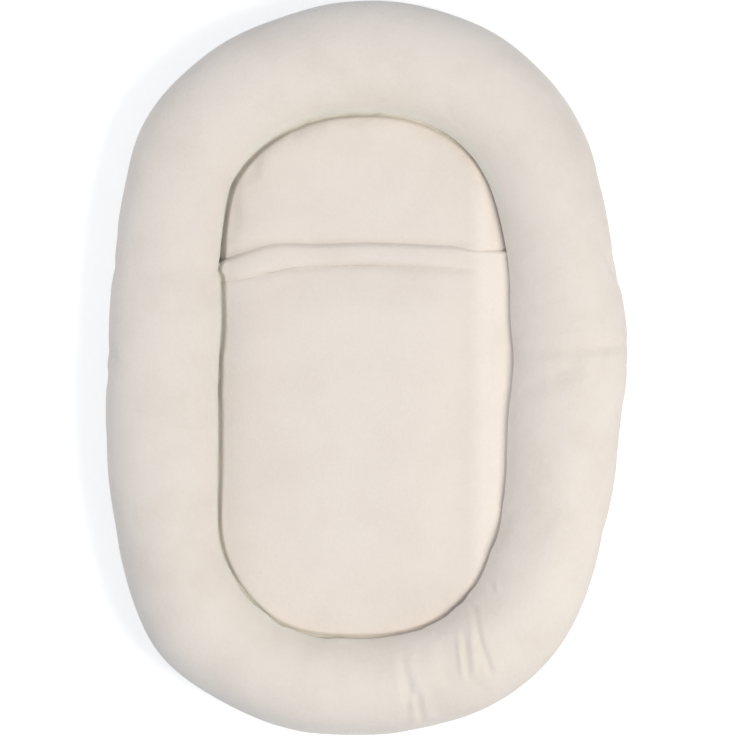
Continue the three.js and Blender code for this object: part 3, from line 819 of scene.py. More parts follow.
def pad_points(shares, turns, offset=0.0, side=1, lift=0.0, crown=PAD_CROWN, grown=False):
    """Points of the pad's top (side 1) or underside (side -1), grown by an offset.

    A grown pad is also as thick where it lies bare as the pocket makes it elsewhere.
    """
    angles = angles_at(turns)
    inner = np.minimum(shares / EDGE_SHARE, 1)
    rise = offset
    if grown:
        rim = oval(angles) + (WELL_X, WELL_Y)
        bare = eased((rim[:, 1] - mouth_y(rim[:, 0]) + BARE_START) / BARE_BLEND) * BARE_RISE
        offset = offset + bare
        rise = rise + bare * eased((shares - BARE_SHARE) / BARE_SHARE_BLEND)
    bend = np.clip((1 - shares) / (1 - EDGE_SHARE), 0, 1) * math.pi / 2
    inset = PAD_EDGE_DEPTH * (1 - np.cos(bend) ** (2 / PAD_EDGE_POWER))
    flat = oval(angles, PAD_INSET - offset + inset) * inner[:, None] + (WELL_X, WELL_Y)
    up = np.maximum((PAD_RISE + rise) * np.sin(bend) ** (2 / PAD_EDGE_POWER), lift)
    up = up + crown * (1 - inner**2)
    return np.column_stack([flat, PAD_SEAM + side * up])


def half_width_at(y, offset):
    """Half the pad's width at a place along it."""
    along = np.minimum(np.abs(y - WELL_Y) / (WELL_HALF_Y - PAD_INSET + offset), 1)
    return (WELL_HALF_X - PAD_INSET + offset) * (1 - along**LENGTH_POWER) ** (1 / CROSS_POWER)


CROWDING = 0.32  # distance between rows of points at the mouth, as a share of that elsewhere
CROWDING_REACH = 0.07
CROWDING_MARGIN = 0.02  # added to the pad's half width, so that its ends have one too


def crowded(points, centre):
    """The points slid along the pad towards the mouth, where the forms are finer."""
    middle = mouth_y(points[:, 0]) + centre
    away = points[:, 1] - middle
    share = CROWDING + (1 - CROWDING) * eased(np.abs(away) / CROWDING_REACH)
    moved = points.copy()
    moved[:, 1] = middle + away * share
    before, after = (half_width_at(p[:, 1], CROWDING_MARGIN) for p in (points, moved))
    moved[:, 0] = WELL_X + (points[:, 0] - WELL_X) * (after / before)
    return moved


def mouth_valley(points):
    """How far the pad dips in front of the pocket, less where that lies flat at the right."""
    x, y = points[..., 0], points[..., 1]
    flat = eased((x - WELL_X - CUFF_FADE_X) / CUFF_FADE)
    return MOUTH_VALLEY * hump(y - mouth_y(x) - VALLEY_PLACE, VALLEY_REACH) * (1 - flat)


def make_pad():
    shares, turns, faces = disc_grid(PAD_SQUARES)
    top = pad_points(shares, turns, grown=True)
    bottom = pad_points(shares, turns, side=-1, crown=0, grown=True)
    count = len(top)
    both = crowded(np.concatenate([top, bottom]), PAD_CROWD_AT)
    shape = mesh_object("pad_shape", both, faces + [tuple(i + count for i in f) for f in faces])
    outward(shape)
    points = coordinates(shape)
    points[:, 2] += unevenness(points, *PAD_LUMPS)
    upper = np.clip((points[:, 2] - PAD_SEAM) / PAD_RISE, 0, 1)
    points[:, 2] -= mouth_valley(points) * upper**2
    move_points(shape, points)
    at_seam = abs(points[:, 2] - PAD_SEAM) < PAD_SEAM_BAND
    shift = swell(shape, pressure=2.5, cap=0.003, pinned=at_seam, growth=0.012)
    points = coordinates(shape) + shift
    points[:, 2] = np.maximum(points[:, 2], pad_under)
    move_points(shape, settled(sunk(points)))
    for name, top, node, slot, made in (
        ("pad_top_cover", True, "pad_cover_top", "pad_fleece", pad_fleece),
        ("pad_bottom_cover", False, "pad_cover_bottom", "cotton", cotton),
    ):
        half = copied(shape, name)
        keep_faces(half, lambda at: (at.z > PAD_SEAM) == top)
        subdivided(thickened(half, PAD_CLOTH))
        stand_in(half, "pad", node, slot, made, fill=0.7)
    bpy.data.objects.remove(shape)


def make_pad_core():
    """Foam block inside the pad's covers, its edge as round as theirs."""
    shares, turns, faces = disc_grid(CORE_SQUARES)
    grid = {"shares": shares, "turns": turns, "offset": -CORE_INSET, "lift": LEAST_RISE}
    top, bottom = pad_points(**grid), pad_points(**grid, side=-1, crown=0)
    count = len(top)
    edge = np.isclose(shares, 1)
    bottom[edge] = top[edge]
    top[:, 2] -= CORE_DROP
    faces = faces + [tuple(i + count for i in f) for f in faces]
    core = mesh_object("pad_foam_core", np.concatenate([top, bottom]), faces)
    points = coordinates(core)
    points[:, 2] = np.maximum(points[:, 2], pad_under + CORE_FLOOR)
    move_points(core, settled(sunk(points)))
    outward(core)
    stand_in(core, "pad", "pad_core", "foam", foam, fill=1.0)


# Pocket


MOUTH_SINK, SINK_REACH = 0.0120, 0.075  # how much lower the pocket is at its mouth, and how far
STRIP_SHARE = 0.88  # of the pad's half width, where the pocket comes down to its flat right edge


def loft_at(points, height):
    """How far a layer stands over the pad at each point: less at the mouth than behind it."""
    x = (points[:, 0] - WELL_X) / (WELL_HALF_X - PAD_GAP)
    x = np.where(x > 0, x / STRIP_SHARE, -x)
    y = np.abs(points[:, 1] - WELL_Y) / (WELL_HALF_Y - PAD_GAP)
    out = np.minimum(x**CROSS_POWER + y**LENGTH_POWER, 1)
    sink = MOUTH_SINK * (1 - eased((mouth_y(points[:, 0]) - points[:, 1]) / SINK_REACH))
    return np.maximum(height - sink, 0) * (1 - out**LOFT_POWER) ** 1.5


def in_halves(piece, name, node, made):
    """Splits a layer of the pocket into halves, each sewn at its side.

    The halves keep the whole layer's normals, so that no line shows where they meet.
    """
    kept = piece.data.attributes.new("whole_normal", "FLOAT_VECTOR", "POINT")
    kept.data.foreach_set("vector", vectors(piece.data.vertices, "normal").ravel())
    for side, sign in (("left", -1), ("right", 1)):
        half = copied(piece, f"{name}_{side}")
        keep_faces(half, lambda at: (at.x - WELL_X) * sign >= 0, close=True)
        normals = vectors(half.data.attributes["whole_normal"].data, "vector")
        half.data.normals_split_custom_set_from_vertices(normals.tolist())
        half.data.attributes.remove(half.data.attributes["whole_normal"])
        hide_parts(node)
        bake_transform(half)
        finish(half, made)
    bpy.data.objects.remove(piece)


def pocket_layer(name, node, slot, made, offset, loft, thickness, padded=False):
    """A layer of the pocket, over the pad from its foot to the mouth."""
    shares, turns, faces = disc_grid(POCKET_SQUARES)
    points = pad_points(shares, turns, offset=offset, lift=LEAST_RISE)
    points = crowded(points, POCKET_CROWD_AT)
    points[:, 2] += loft_at(points, loft - offset) - pocket_folds(points)
    points[:, 1] -= mouth_y(points[:, 0]) - MOUTH_END_Y
    layer = mesh_object(name, points, faces)
    cut_across(outward(layer), (0, MOUTH_END_Y, 0), (0, 1, 0), clear=True)
    points = coordinates(layer)
    points[:, 1] += mouth_y(points[:, 0]) - MOUTH_END_Y
    points[:, 2] += pocket_puckers(points)
    move_points(layer, settled(sunk(points)))
    thickened(layer, thickness)
    if padded:
        in_halves(layer, name, node, made)
    else:
        in_halves(subdivided(layer), name, node, made)


def pocket_puckers(points):
    """Low, broad ripples that all of the pocket's layers share, none at its sewn edge."""
    middle = np.clip((points[:, 2] - PAD_TOP) / PUCKER_RISE, 0, 1)
    return unevenness(points * (1, 1, 0), *POCKET_LUMPS) * middle


# The cuff's section above the layers: share of its width behind the mouth, and height in metres
CUFF_BACK = [
    (1.000, -0.0004),
    (1.014, 0.0005),
    (0.980, 0.0013),
    (0.900, 0.0022),
    (0.780, 0.0029),
    (0.640, 0.0033),
    (0.480, 0.0036),
    (0.330, 0.0038),
    (0.190, 0.0038),
    (0.080, 0.0036),
]
# In front of the layers' ends: metres towards the head, and share of the way down to the pad
CUFF_FRONT = [
    (0.0012, -0.56),
    (0.0028, -0.44),
    (0.0043, -0.24),
    (0.0056, 0.02),
    (0.0068, 0.30),
    (0.0078, 0.56),
    (0.0087, 0.82),
    (0.0094, 1.00),
    (0.0088, 1.08),
    (-0.0030, 1.04),
    (-0.0034, 0.90),
    (0.0002, 0.84),
    (0.0006, 0.50),
    (0.0003, 0.05),
]
CUFF_STEPS = 151
CUFF_CLEARANCE = 0.0002  # at the cuff's ends
CUFF_STANDOFF = 0.0006  # of its front over the pad
CUFF_THINNING, CUFF_FLATNESS = 0.75, 0.92  # how much thinner it is at its ends, and where flat
SLOPE_STEP = 0.0005  # for measuring how steep the sheet below the cuff is
# The cuff lies flat at the right, from this far right of the middle, and goes over to that in
# this length
CUFF_FADE_X, CUFF_FADE = 0.103, 0.026
# Width of the cuff at places across the pocket, in metres
CUFF_WIDTHS = [
    (-0.165, 0.0190),
    (-0.125, 0.0225),
    (-0.079, 0.0208),
    (-0.030, 0.0178),
    (0.014, 0.0168),
    (0.060, 0.0196),
    (0.107, 0.0200),
    (0.155, 0.0195),
]
CUFF_CURVE = np.polyfit(*zip(*CUFF_WIDTHS), 5)
# Where the stitched edge of the cuff pulls the pocket down, written as the bolster's folds are
POCKET_FOLDS = [
    ((242, 276.5), (270, 275.5), 0.0042, 0.0034),
    ((270, 270.5), (330, 268), 0.0048, 0.0022),
    ((346, 265), (374, 264.5), 0.0048, 0.0024),
    ((378, 266), (426, 269.5), 0.0048, 0.0028),
    ((432, 270.5), (482, 273.5), 0.0050, 0.0025),
]


def cuff_width(x):
    return np.polyval(CUFF_CURVE, x)


def pocket_folds(points):
    """How far the folds draw a layer down, less where it lies low over the pad."""
    room = eased(loft_at(points, SHEET_LOFT) / PUCKER_RISE)
    return sum(wrinkle(points, *fold) for fold in POCKET_FOLDS) * room


def surface_height(x, y, offset, loft):
    """Height of a layer over the pad, from the inset of the loop that the point lies on."""
    low, high = np.zeros_like(x), np.full_like(x, WELL_HALF_X - PAD_INSET + offset)
    dx, dy = np.abs(x - WELL_X), np.abs(y - WELL_Y)
    for _ in range(40):
        inset = (low + high) / 2
        a = WELL_HALF_X - PAD_INSET + offset - inset
        b = WELL_HALF_Y - PAD_INSET + offset - inset
        inside = (dx / a) ** CROSS_POWER + (dy / b) ** LENGTH_POWER < 1
        low, high = np.where(inside, inset, low), np.where(inside, high, inset)
    share = np.clip(1 - low / PAD_EDGE_DEPTH, 0, 1)
    up = (PAD_RISE + offset) * edge_rise(share)
    flat_x = WELL_HALF_X - PAD_INSET - PAD_EDGE_DEPTH
    flat_y = WELL_HALF_Y - PAD_INSET - PAD_EDGE_DEPTH
    ring = np.maximum((dx / flat_x) ** CROSS_POWER + (dy / flat_y) ** LENGTH_POWER, 0)
    crown = PAD_CROWN * np.clip(1 - ring ** (2 / CROSS_POWER), 0, 1)
    points = np.stack([x, y], axis=-1)
    return PAD_SEAM + np.maximum(up, LEAST_RISE) + crown + loft_at(points, loft - offset)


def make_cuff(offset, loft):
    """The turned-back edge of the pocket, rolled over the layers' ends at the mouth."""
    share = np.sin(np.linspace(-math.pi / 2, math.pi / 2, CUFF_STEPS))
    thin = 1 - CUFF_THINNING * np.abs(share) ** 8

    def place(forward):
        x = WELL_X + share * half_width_at(MOUTH_END_Y, offset)
        y = mouth_y(x) + forward
        return WELL_X + share * (half_width_at(y, offset) - CUFF_CLEARANCE), y

    x, y = place(0)
    thin = thin * (1 - CUFF_FLATNESS * eased((x - WELL_X - CUFF_FADE_X) / CUFF_FADE))
    width = cuff_width(x)
    rows = []
    for back, up in CUFF_BACK:
        x, y = place(-width * back)
        points = np.column_stack([x, y, y * 0])
        folds = pocket_folds(points)
        height = surface_height(x, y, offset, loft) - folds
        nearer = surface_height(x - SLOPE_STEP * share, y, offset, loft) - folds
        tilt = np.arctan(np.clip((nearer - height) / SLOPE_STEP, 0, 30)) * np.sign(share)
        rows.append(
            np.column_stack([x + np.sin(tilt) * up * thin, y, height + np.cos(tilt) * up * thin])
        )
    for forward, down in CUFF_FRONT:
        x, y = place(forward * (0.5 + 0.5 * thin))
        high = surface_height(x, y, offset, loft)
        low = surface_height(x, y, CUFF_STANDOFF, CUFF_STANDOFF)
        low = low - mouth_valley(np.stack([x, y], axis=-1))
        rows.append(np.column_stack([x, y, high - (high - low) * down]))
    points = np.array(rows)
    points[..., 0] += cuff_bulge(points) * share
    points = settled(sunk(points)).reshape(-1, 3)
    faces = band_faces(len(rows), CUFF_STEPS, closed_rows=True, closed_columns=False)
    ends = [i * CUFF_STEPS for i in range(len(rows))]
    faces += [tuple(ends), tuple(e + CUFF_STEPS - 1 for e in reversed(ends))]
    cuff = mesh_object("pocket_turned_cuff", points, faces)
    subdivided(outward(cuff))
    in_halves(cuff, "pocket_turned_cuff", "pocket_cuff", pad_fleece)


# Zip

TAPE_LUMPS = (0.012, 2.2, 0.00012)
TAPE_THICKNESS = 0.0006
TOOTH_PITCH = 0.0024
TOOTH_SHARE = 0.55  # of the pitch, that a tooth fills
TOOTH_ROUNDING, CORD_ROUNDING = 0.00035, 0.0002
CORD_INSET, CORD_HALF = 0.0005, 0.0004  # of the cord that carries the teeth
CORD_LOW, CORD_HIGH = 0.0006, 0.0014  # above the teeth's underside


def boxed(piece, low, high):
    """Puts a primitive of size 1 into a box, and its place and size into its mesh."""
    piece.location = (Vector(low) + Vector(high)) / 2
    piece.scale = [b - a for a, b in zip(low, high)]
    only(piece)
    bpy.ops.object.transform_apply(location=True, rotation=True, scale=True)


def rounded_block(name, low, high, radius, segments=2):
    """A block in a box, its edges rounded."""
    block = primitive(name, bpy.ops.mesh.primitive_cube_add, size=1)
    boxed(block, low, high)
    rounding = {"offset": radius, "offset_type": "OFFSET", "segments": segments}
    return edited(block, (bpy.ops.mesh.bevel, rounding | {"affect": "EDGES"}))


def joined(name, *pieces):
    bpy.ops.object.select_all(action="DESELECT")
    for piece in pieces:
        piece.select_set(True)
    bpy.context.view_layer.objects.active = pieces[0]
    bpy.ops.object.join()
    pieces[0].name = name
    return pieces[0]


def make_tape(side):
    """Woven band of the zip, sewn below the base's slot."""
    low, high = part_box(f"zip_tape_{side}")
    squares = {"x_subdivisions": 8, "y_subdivisions": 160}
    tape = primitive(f"zip_band_{side}", bpy.ops.mesh.primitive_grid_add, **squares, size=1)
    middle = (low.z + high.z) / 2
    boxed(tape, (low.x, low.y, middle), (high.x, high.y, middle + 1))
    points = coordinates(tape)
    points[:, 2] = middle + unevenness(points, *TAPE_LUMPS)
    move_points(tape, points)
    thickened(tape, TAPE_THICKNESS, 0)
    flat = (high.x - low.x, high.y - low.y)
    stand_in(tape, "bolster", f"zip_tape_{side}", "zip_fabric", tape_weave, flat=flat)


def make_teeth(side):
    """A row of the zip's teeth: one rounded loop, repeated along a cord."""
    low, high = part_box(f"zip_coil_{side}")
    far = (high.x, low.y + TOOTH_PITCH * TOOTH_SHARE, high.z)
    tooth = rounded_block("tooth", low, far, TOOTH_ROUNDING, 1)
    copies = tooth.modifiers.new("Row", "ARRAY")
    copies.use_relative_offset = False
    copies.use_constant_offset = True
    copies.constant_offset_displace = (0, TOOTH_PITCH, 0)
    copies.count = int((high.y - low.y) / TOOTH_PITCH)
    apply_modifiers(tooth)
    at = low.x + CORD_INSET if side == "left" else high.x - CORD_INSET
    near = (at - CORD_HALF, low.y, low.z + CORD_LOW)
    far = (at + CORD_HALF, high.y, low.z + CORD_HIGH)
    cord = rounded_block("cord", near, far, CORD_ROUNDING)
    teeth = joined(f"zip_teeth_{side}", tooth, cord)
    stand_in(teeth, "bolster", f"zip_coil_{side}", "zip_plastic", plastic)


def cad_finish(name, made):
    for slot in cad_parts[name].material_slots:
        slot.material = made


# Materials


COLOURS = ("Colour", "Shadow colour")


def node_group(name, inputs, outputs=("Colour", "Normal")):
    """An empty group with the named inputs at their usual values, and the named outputs."""
    group = bpy.data.node_groups.new(name, "ShaderNodeTree")
    sockets = [(label, "INPUT") for label in inputs] + [(label, "OUTPUT") for label in outputs]
    for label, side in sockets:
        kind = "Color" if label in COLOURS else "Vector" if label == "Normal" else "Float"
        socket = group.interface.new_socket(label, in_out=side, socket_type="NodeSocket" + kind)
        if side == "INPUT":
            socket.default_value = inputs[label]
    return group, group.nodes.new("NodeGroupInput"), group.nodes.new("NodeGroupOutput")


def linked(group, kind, operation=None, values=()):
    """A new node of a kind, each of its first inputs set to a value or linked to a socket."""
    node = group.nodes.new(kind)
    if operation:
        node.operation = operation
    for socket, value in zip(node.inputs, values):
        if isinstance(value, bpy.types.NodeSocket):
            group.links.new(value, socket)
        else:
            socket.default_value = value
    return node


def math_node(group, operation, *values):
    return linked(group, "ShaderNodeMath", operation, values).outputs[0]


def sums(group):
    """Functions that add, multiply and subtract sockets or values in the group."""
    return [partial(math_node, group, kind) for kind in ("ADD", "MULTIPLY", "SUBTRACT")]


def vector_node(group, operation, *values):
    return linked(group, "ShaderNodeVectorMath", operation, values).outputs[0]


def noise_node(group, vector, scale, detail, roughness=0.6):
    node = group.nodes.new("ShaderNodeTexNoise")
    node.inputs["Scale"].default_value = scale
    node.inputs["Detail"].default_value = detail
    node.inputs["Roughness"].default_value = roughness
    group.links.new(vector, node.inputs["Vector"])
    return node.outputs["Fac"]


def mark_node(group, name):
    """Reads a mark that the mesh's points carry."""
    node = group.nodes.new("ShaderNodeAttribute")
    node.attribute_name = name
    return node.outputs["Fac"]


def mixed(group, factor, one, other):
    """Goes from one colour to the other as the factor goes from 0 to 1."""
    mix = group.nodes.new("ShaderNodeMix")
    mix.data_type = "RGBA"
    for label, value in (("Factor", factor), ("A", one), ("B", other)):
        if isinstance(value, bpy.types.NodeSocket):
            group.links.new(value, mix.inputs[label])
        else:
            mix.inputs[label].default_value = value
    return mix.outputs["Result"]


def mixed_inside(group, inside, factor):
    """Goes from a group's colour to its shadow colour."""
    clamp = linked(group, "ShaderNodeClamp", values=[factor]).outputs[0]
    return mixed(group, clamp, inside.outputs["Colour"], inside.outputs["Shadow colour"])


def put_out(group, inside, outside, colour, height, distance):
    """Links a group's colour, and its normal from a height that is this many metres deep."""
    group.links.new(colour, outside.inputs["Colour"])
    bump = group.nodes.new("ShaderNodeBump")
    bump.inputs["Distance"].default_value = distance
    group.links.new(height, bump.inputs["Height"])
    group.links.new(inside.outputs["Height"], bump.inputs["Strength"])
    group.links.new(bump.outputs[0], outside.inputs["Normal"])


PAINTED_HIGHLIGHT_X = 0.138  # painted highlight: right of this the colour is made paler, standing in for the light on the pad's rounded right edge
PAINTED_HIGHLIGHT_BLEND = 0.024
CREVICE_SHADE_TINT = (-0.008, 0.038, 0.028)  # painted shade tint: how much greyer and cooler the colour is made, deep beside the bolster, standing in for the colour of the shade there
CREVICE_REACH, CREVICE_BLEND = 0.0025, 0.0050
# The painted tint is strongest round this side of the lounger, away from the key light, and least
# so at the foot's right
SHADE_TINT_SIDE, SHADE_TINT_WIDTH, SHADE_TINT_BLEND, SHADE_TINT_LEAST = math.radians(155), 0.60, 0.35, 0.2


def nap_group():
    """Brushed pile: soft patches where the nap lies over, and the fine fibre. It also paints shade
    along marked bands, a highlight towards the pad's right edge and a greyer tint in the marked
    crevice, standing in for light and shade.
    """
    inputs = {"Colour": (0.8, 0.7, 0.6, 1), "Shadow colour": (0.6, 0.5, 0.4, 1)}
    inputs |= {"Patches": 0.4, "Height": 0.3, "Painted highlight": 0.0, "Painted shade": 0.0}
    group, inside, outside = node_group("Brushed nap", inputs)
    place = group.nodes.new("ShaderNodeTexCoord").outputs["Object"]
    patches = noise_node(group, place, 14, 4, 0.55)
    tufts = noise_node(group, place, 210, 3, 0.6)
    fibre = noise_node(group, place, 900, 2, 0.7)
    add, times, less = sums(group)
    patch = times(less(patches, 0.42), inside.outputs["Patches"])
    speck = times(less(tufts, 0.5), 0.35)
    # Painted shade: darker towards the shadow colour where the pressed mark is set, along the
    # pocket's mouth and stitched line
    shade_band = times(mark_node(group, "pressed"), inside.outputs["Painted shade"])
    colour = mixed_inside(group, inside, add(add(patch, speck), shade_band))
    # Painted highlight: the colour is made paler towards the pad's right edge, where the light
    # falls on it
    x = linked(group, "ShaderNodeSeparateXYZ", values=[place]).outputs["X"]
    edge = linked(group, "ShaderNodeMapRange", values=[x])
    edge.interpolation_type = "SMOOTHSTEP"
    edge.inputs["From Min"].default_value = PAINTED_HIGHLIGHT_X - PAINTED_HIGHLIGHT_BLEND
    edge.inputs["From Max"].default_value = PAINTED_HIGHLIGHT_X
    highlight_gain = times(edge.outputs["Result"], inside.outputs["Painted highlight"])
    painted_highlight = group.nodes.new("ShaderNodeVectorMath")
    painted_highlight.operation = "SCALE"
    group.links.new(colour, painted_highlight.inputs[0])
    group.links.new(add(highlight_gain, 1.0), painted_highlight.inputs["Scale"])
    # Painted shade tint: greyer in the crevice beside the bolster, standing in for the colour of
    # its shade
    deep = mark_node(group, "crevice")
    groove_tint = vector_node(group, "MULTIPLY_ADD", deep, CREVICE_SHADE_TINT, (1, 1, 1))
    colour = vector_node(group, "MULTIPLY", painted_highlight.outputs[0], groove_tint)
    height = add(add(times(fibre, 0.45), times(tufts, 0.8)), times(patches, 1.4))
    put_out(group, inside, outside, colour, height, 0.002)
    return group


def weave_group():
    """Plain weave: threads over and under each other along X and Y."""
    inputs = {"Colour": (0.8, 0.7, 0.6, 1), "Shadow colour": (0.6, 0.5, 0.4, 1)}
    group, inside, outside = node_group("Plain weave", inputs | {"Threads": 900.0, "Height": 0.3})
    place = group.nodes.new("ShaderNodeTexCoord").outputs["Object"]
    apart = linked(group, "ShaderNodeSeparateXYZ", values=[place])
    add, times, less = sums(group)
    waves = []
    for axis in ("X", "Y"):
        turn = times(apart.outputs[axis], inside.outputs["Threads"])
        waves.append(math_node(group, "SINE", times(turn, math.tau)))
    height = add(times(times(*waves), 0.5), noise_node(group, place, 300, 3))
    shade = times(less(1.0, height), 0.4)
    put_out(group, inside, outside, mixed_inside(group, inside, shade), height, 0.0005)
    return group


def scuffed_group():
    """A smooth surface with faint cloudy wear and fine scratches."""
    inputs = {"Colour": (0.8, 0.8, 0.8, 1), "Shadow colour": (0.6, 0.6, 0.6, 1)}
    inputs |= {"Roughness": 0.4, "Height": 0.1}
    group, inside, outside = node_group(
        "Scuffed surface", inputs, ("Colour", "Normal", "Roughness")
    )
    place = group.nodes.new("ShaderNodeTexCoord").outputs["Object"]
    stretch = linked(group, "ShaderNodeMapping", values=[place])
    stretch.inputs["Scale"].default_value = (1, 0.08, 1)
    clouds = noise_node(group, place, 260, 4)
    scratches = noise_node(group, stretch.outputs[0], 4200, 3)
    add, times, less = sums(group)
    rough = add(inside.outputs["Roughness"], times(less(clouds, 0.5), 0.3))
    group.links.new(rough, outside.inputs["Roughness"])
    put_out(group, inside, outside, mixed_inside(group, inside, clouds), scratches, 0.0001)
    return group


def material(name, group, colour, shadow, roughness, effects, sheen=0.0, metallic=0.0):
    """A surface with a group's pattern. The effects are the group's other inputs."""
    made = bpy.data.materials.new(name)
    made.use_nodes = True
    nodes, links = made.node_tree.nodes, made.node_tree.links
    shader = nodes["Principled BSDF"]
    shader.inputs["Roughness"].default_value = roughness
    shader.inputs["Metallic"].default_value = metallic
    shader.inputs["Sheen Weight"].default_value = sheen
    shader.inputs["Sheen Roughness"].default_value = 0.5
    shader.inputs["Specular IOR Level"].default_value = 0.2 if sheen else 0.5
    effect = nodes.new("ShaderNodeGroup")
    effect.node_tree = group
    effect.inputs["Colour"].default_value = (*colour, 1)
    effect.inputs["Shadow colour"].default_value = (*shadow, 1)
    for label, value in effects.items():
        effect.inputs[label].default_value = value
    links.new(effect.outputs["Colour"], shader.inputs["Base Color"])
    links.new(effect.outputs["Normal"], shader.inputs["Normal"])
    if "Roughness" in effect.outputs:
        links.new(effect.outputs["Roughness"], shader.inputs["Roughness"])
    return made


# Painted shade: a darker band along the pocket's mouth and its stitched line, standing in for the
# shade at the cuff's edges
SHADE_BAND_PLACE, SHADE_BAND_REACH = 0.0090, 0.0052  # of the painted shade band: in front of the mouth's line, and how wide
STITCH_SHADE_REACH = 0.0042
SHADE_BAND_FADE = 0.010  # further right than where the cuff starts to lie flat


def mark(piece, name, values):
    """Keeps a value for each of the mesh's points, for the materials to read."""
    kept = piece.data.attributes.new(name, "FLOAT", "POINT")
    kept.data.foreach_set("value", values)


def mark_painted_shade(piece):
    """Marks where shade is painted on the pile: along the pocket's mouth and its stitched line."""
    x, y = coordinates(piece)[:, :2].T
    mouth = hump(y - mouth_y(x) - SHADE_BAND_PLACE, SHADE_BAND_REACH)
    stitched = hump(y - mouth_y(x) + cuff_width(x), STITCH_SHADE_REACH)
    flat = eased((x - WELL_X - CUFF_FADE_X - SHADE_BAND_FADE) / CUFF_FADE)
    # The mark named pressed carries this painted shade
    mark(piece, "pressed", np.maximum(mouth, stitched) * (1 - flat))


def mark_crevice_shade(piece):
    """Marks the pile in the crevice between the bolster and what lies in the well, where a greyer
    tint is painted, standing in for its shade.
    """
    x, y = coordinates(piece)[:, :2].T
    turns = np.arctan2(y, x)
    away = np.abs(np.hypot(x, y) - well_reach(turns) - bulge(turns, WELL_BULGES))
    deep = 1 - eased((away - CREVICE_REACH) / CREVICE_BLEND)
    shaded = eased((np.cos(turns - SHADE_TINT_SIDE) + SHADE_TINT_WIDTH) / SHADE_TINT_BLEND)
    mark(piece, "crevice", deep * (SHADE_TINT_LEAST + (1 - SHADE_TINT_LEAST) * shaded))


def finish(piece, made):
    piece.data.materials.clear()
    piece.data.materials.append(made)
    # Painted shade along the pocket's mouth and stitched line, on the pad fleece
    if made is pad_fleece:
        mark_painted_shade(piece)
    # Painted shade tint in the crevice beside the bolster, on both fleeces
    if made in (fleece, pad_fleece):
        mark_crevice_shade(piece)


nap, weave, scuffed = nap_group(), weave_group(), scuffed_group()
# After the pattern: its colour, its shadow colour, the roughness and the pattern's other values
fleece = material(
    "Fleece",
    nap,
    (0.800, 0.733, 0.674),
    (0.700, 0.622, 0.556),
    0.95,
    {"Patches": 1.6, "Height": 0.35},
    sheen=0.4,
)
# Pad fleece paints a highlight towards the pad's right edge, and shade along the pocket's mouth
# and its stitched line
pad_fleece = material(
    "Pad fleece",
    nap,
    (0.812, 0.738, 0.682),
    (0.730, 0.648, 0.585),
    0.95,
    {"Patches": 1.2, "Height": 0.3, "Painted highlight": 0.12, "Painted shade": 0.5},
    sheen=0.35,
)
pattern = {"Threads": 700, "Height": 0.4}
cotton = material("Cotton", weave, (0.78, 0.72, 0.64), (0.62, 0.56, 0.48), 0.9, pattern, 0.1)
pattern = {"Threads": 500, "Height": 0.3}
nonwoven = material("Spunbond", weave, (0.72, 0.72, 0.70), (0.60, 0.60, 0.58), 0.8, pattern)
pattern = {"Threads": 1400, "Height": 0.6}
tape_weave = material("Zip tape", weave, (0.76, 0.72, 0.65), (0.58, 0.54, 0.47), 0.8, pattern)
pattern = {"Patches": 1.2, "Height": 0.8}
fibre = material("Fibre filling", nap, (0.74, 0.74, 0.73), (0.62, 0.62, 0.61), 1.0, pattern)
pattern = {"Patches": 0.6, "Height": 0.6}
foam = material("Foam", nap, (0.72, 0.66, 0.46), (0.55, 0.48, 0.30), 0.95, pattern)
pattern = {"Roughness": 0.38, "Height": 0.15}
plastic = material("Zip teeth", scuffed, (0.80, 0.77, 0.71), (0.72, 0.68, 0.61), 0.38, pattern)
pattern = {"Roughness": 0.32, "Height": 0.3}
metal = material(
    "Zip metal", scuffed, (0.72, 0.71, 0.69), (0.58, 0.57, 0.55), 0.32, pattern, metallic=1.0
)

for side in ("left", "right"):
    make_tape(side)
    make_teeth(side)
for name in ("zip_stop_head", "zip_stop_foot", "zip_slider", "zip_pull"):
    cad_finish(name, metal)
make_bolster()
make_pad()
make_pad_core()
pocket_layer("pocket_outer_sheet", "pocket_sheet", "pad_fleece", pad_fleece, *SHEET_SIZES)
pocket_layer("pocket_wadding_layer", "pocket_wadding", "fibre", fibre, *WADDING_SIZES, True)
pocket_layer("pocket_inner_lining", "pocket_lining", "cotton", cotton, *LINING_SIZES)
make_cuff(*SHEET_SIZES[:2])


# Floor, light and camera


GROUND_SIZE, GROUND_HEIGHT = 12, -0.0005
GROUND_GLOW = 0.5  # lifts the ground to white where it is seen, and leaves the object's shadow
SKY_COLOUR, SKY_STRENGTH = (0.75, 0.87, 1.0, 1), 0.582
LIGHT_AIM = (0, 0, 0.05)
LIGHTS = [  # name, place, size, power and colour
    ("key", (1.35, -0.55, 2.6), 0.9, 42.5, (1, 0.905, 0.75)),
    ("low", (2.6, -0.9, 1.1), 1.2, 9.6, (1, 0.82, 0.72)),
    ("left", (-2.2, 0.8, 1.6), 1.2, 16.5, (1, 0.845, 0.71)),
]
CAMERA_PLACE = (0.0006, -0.0006, CAMERA_HEIGHT)


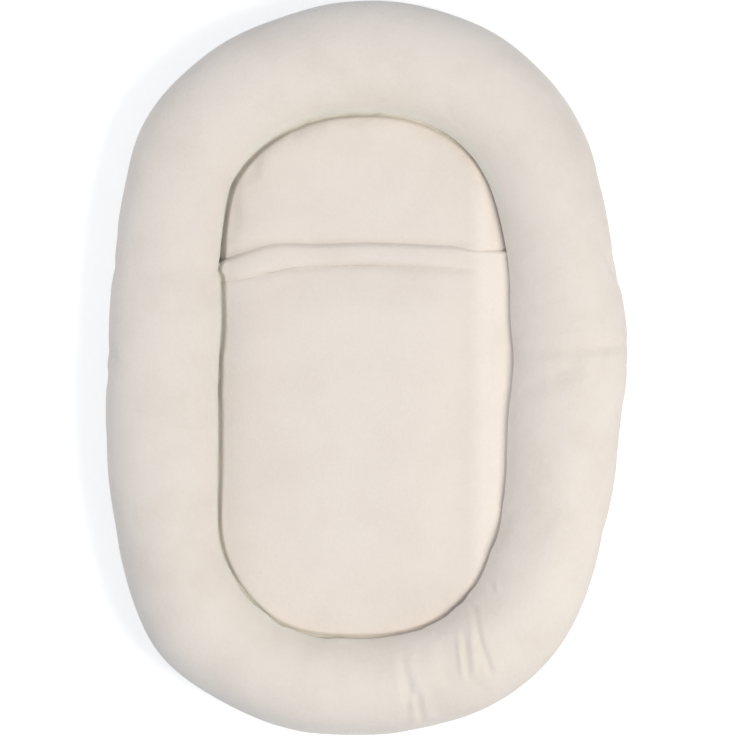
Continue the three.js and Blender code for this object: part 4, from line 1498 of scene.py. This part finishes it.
def make_floor():
    sizes = {"size": GROUND_SIZE, "location": (0, 0, GROUND_HEIGHT)}
    floor = primitive("floor", bpy.ops.mesh.primitive_plane_add, **sizes)
    made = bpy.data.materials.new("Floor")
    made.use_nodes = True
    nodes, links = made.node_tree.nodes, made.node_tree.links
    shader = nodes["Principled BSDF"]
    shader.inputs["Roughness"].default_value = 1.0
    shader.inputs["Specular IOR Level"].default_value = 0.0
    path = nodes.new("ShaderNodeLightPath")
    seen = path.outputs["Is Camera Ray"]
    for label in ("Is Glossy Ray", "Is Transmission Ray"):
        seen = math_node(made.node_tree, "MAXIMUM", seen, path.outputs[label])
    colour = mixed(made.node_tree, seen, (0.75, 0.75, 0.75, 1), (0.72, 0.72, 0.72, 1))
    links.new(colour, shader.inputs["Base Color"])
    shader.inputs["Emission Color"].default_value = (1, 1, 1, 1)
    glow = math_node(made.node_tree, "MULTIPLY", seen, GROUND_GLOW)
    links.new(glow, shader.inputs["Emission Strength"])
    finish(floor, made)


def area_light(name, place, size, power, colour):
    data = bpy.data.lights.new(name, "AREA")
    data.shape = "SQUARE"
    data.size = size
    data.energy = power
    data.color = colour
    light = bpy.data.objects.new(name, data)
    light.location = place
    aim = Vector(LIGHT_AIM) - Vector(place)
    light.rotation_euler = aim.to_track_quat("-Z", "Y").to_euler()
    bpy.context.scene.collection.objects.link(light)


def make_light():
    world = bpy.data.worlds.new("World")
    world.use_nodes = True
    background = world.node_tree.nodes["Background"]
    background.inputs["Color"].default_value = SKY_COLOUR
    background.inputs["Strength"].default_value = SKY_STRENGTH
    bpy.context.scene.world = world
    for light in LIGHTS:
        area_light(*light)


def make_camera():
    data = bpy.data.cameras.new("camera")
    data.sensor_width = 36
    data.lens = data.sensor_width * (CAMERA_HEIGHT - SECTION_CENTRE) / FRAME_WIDTH
    camera = bpy.data.objects.new("camera", data)
    camera.location = CAMERA_PLACE
    bpy.context.scene.collection.objects.link(camera)
    bpy.context.scene.camera = camera


make_floor()
make_light()
make_camera()
bpy.context.scene.view_settings.view_transform = "Standard"
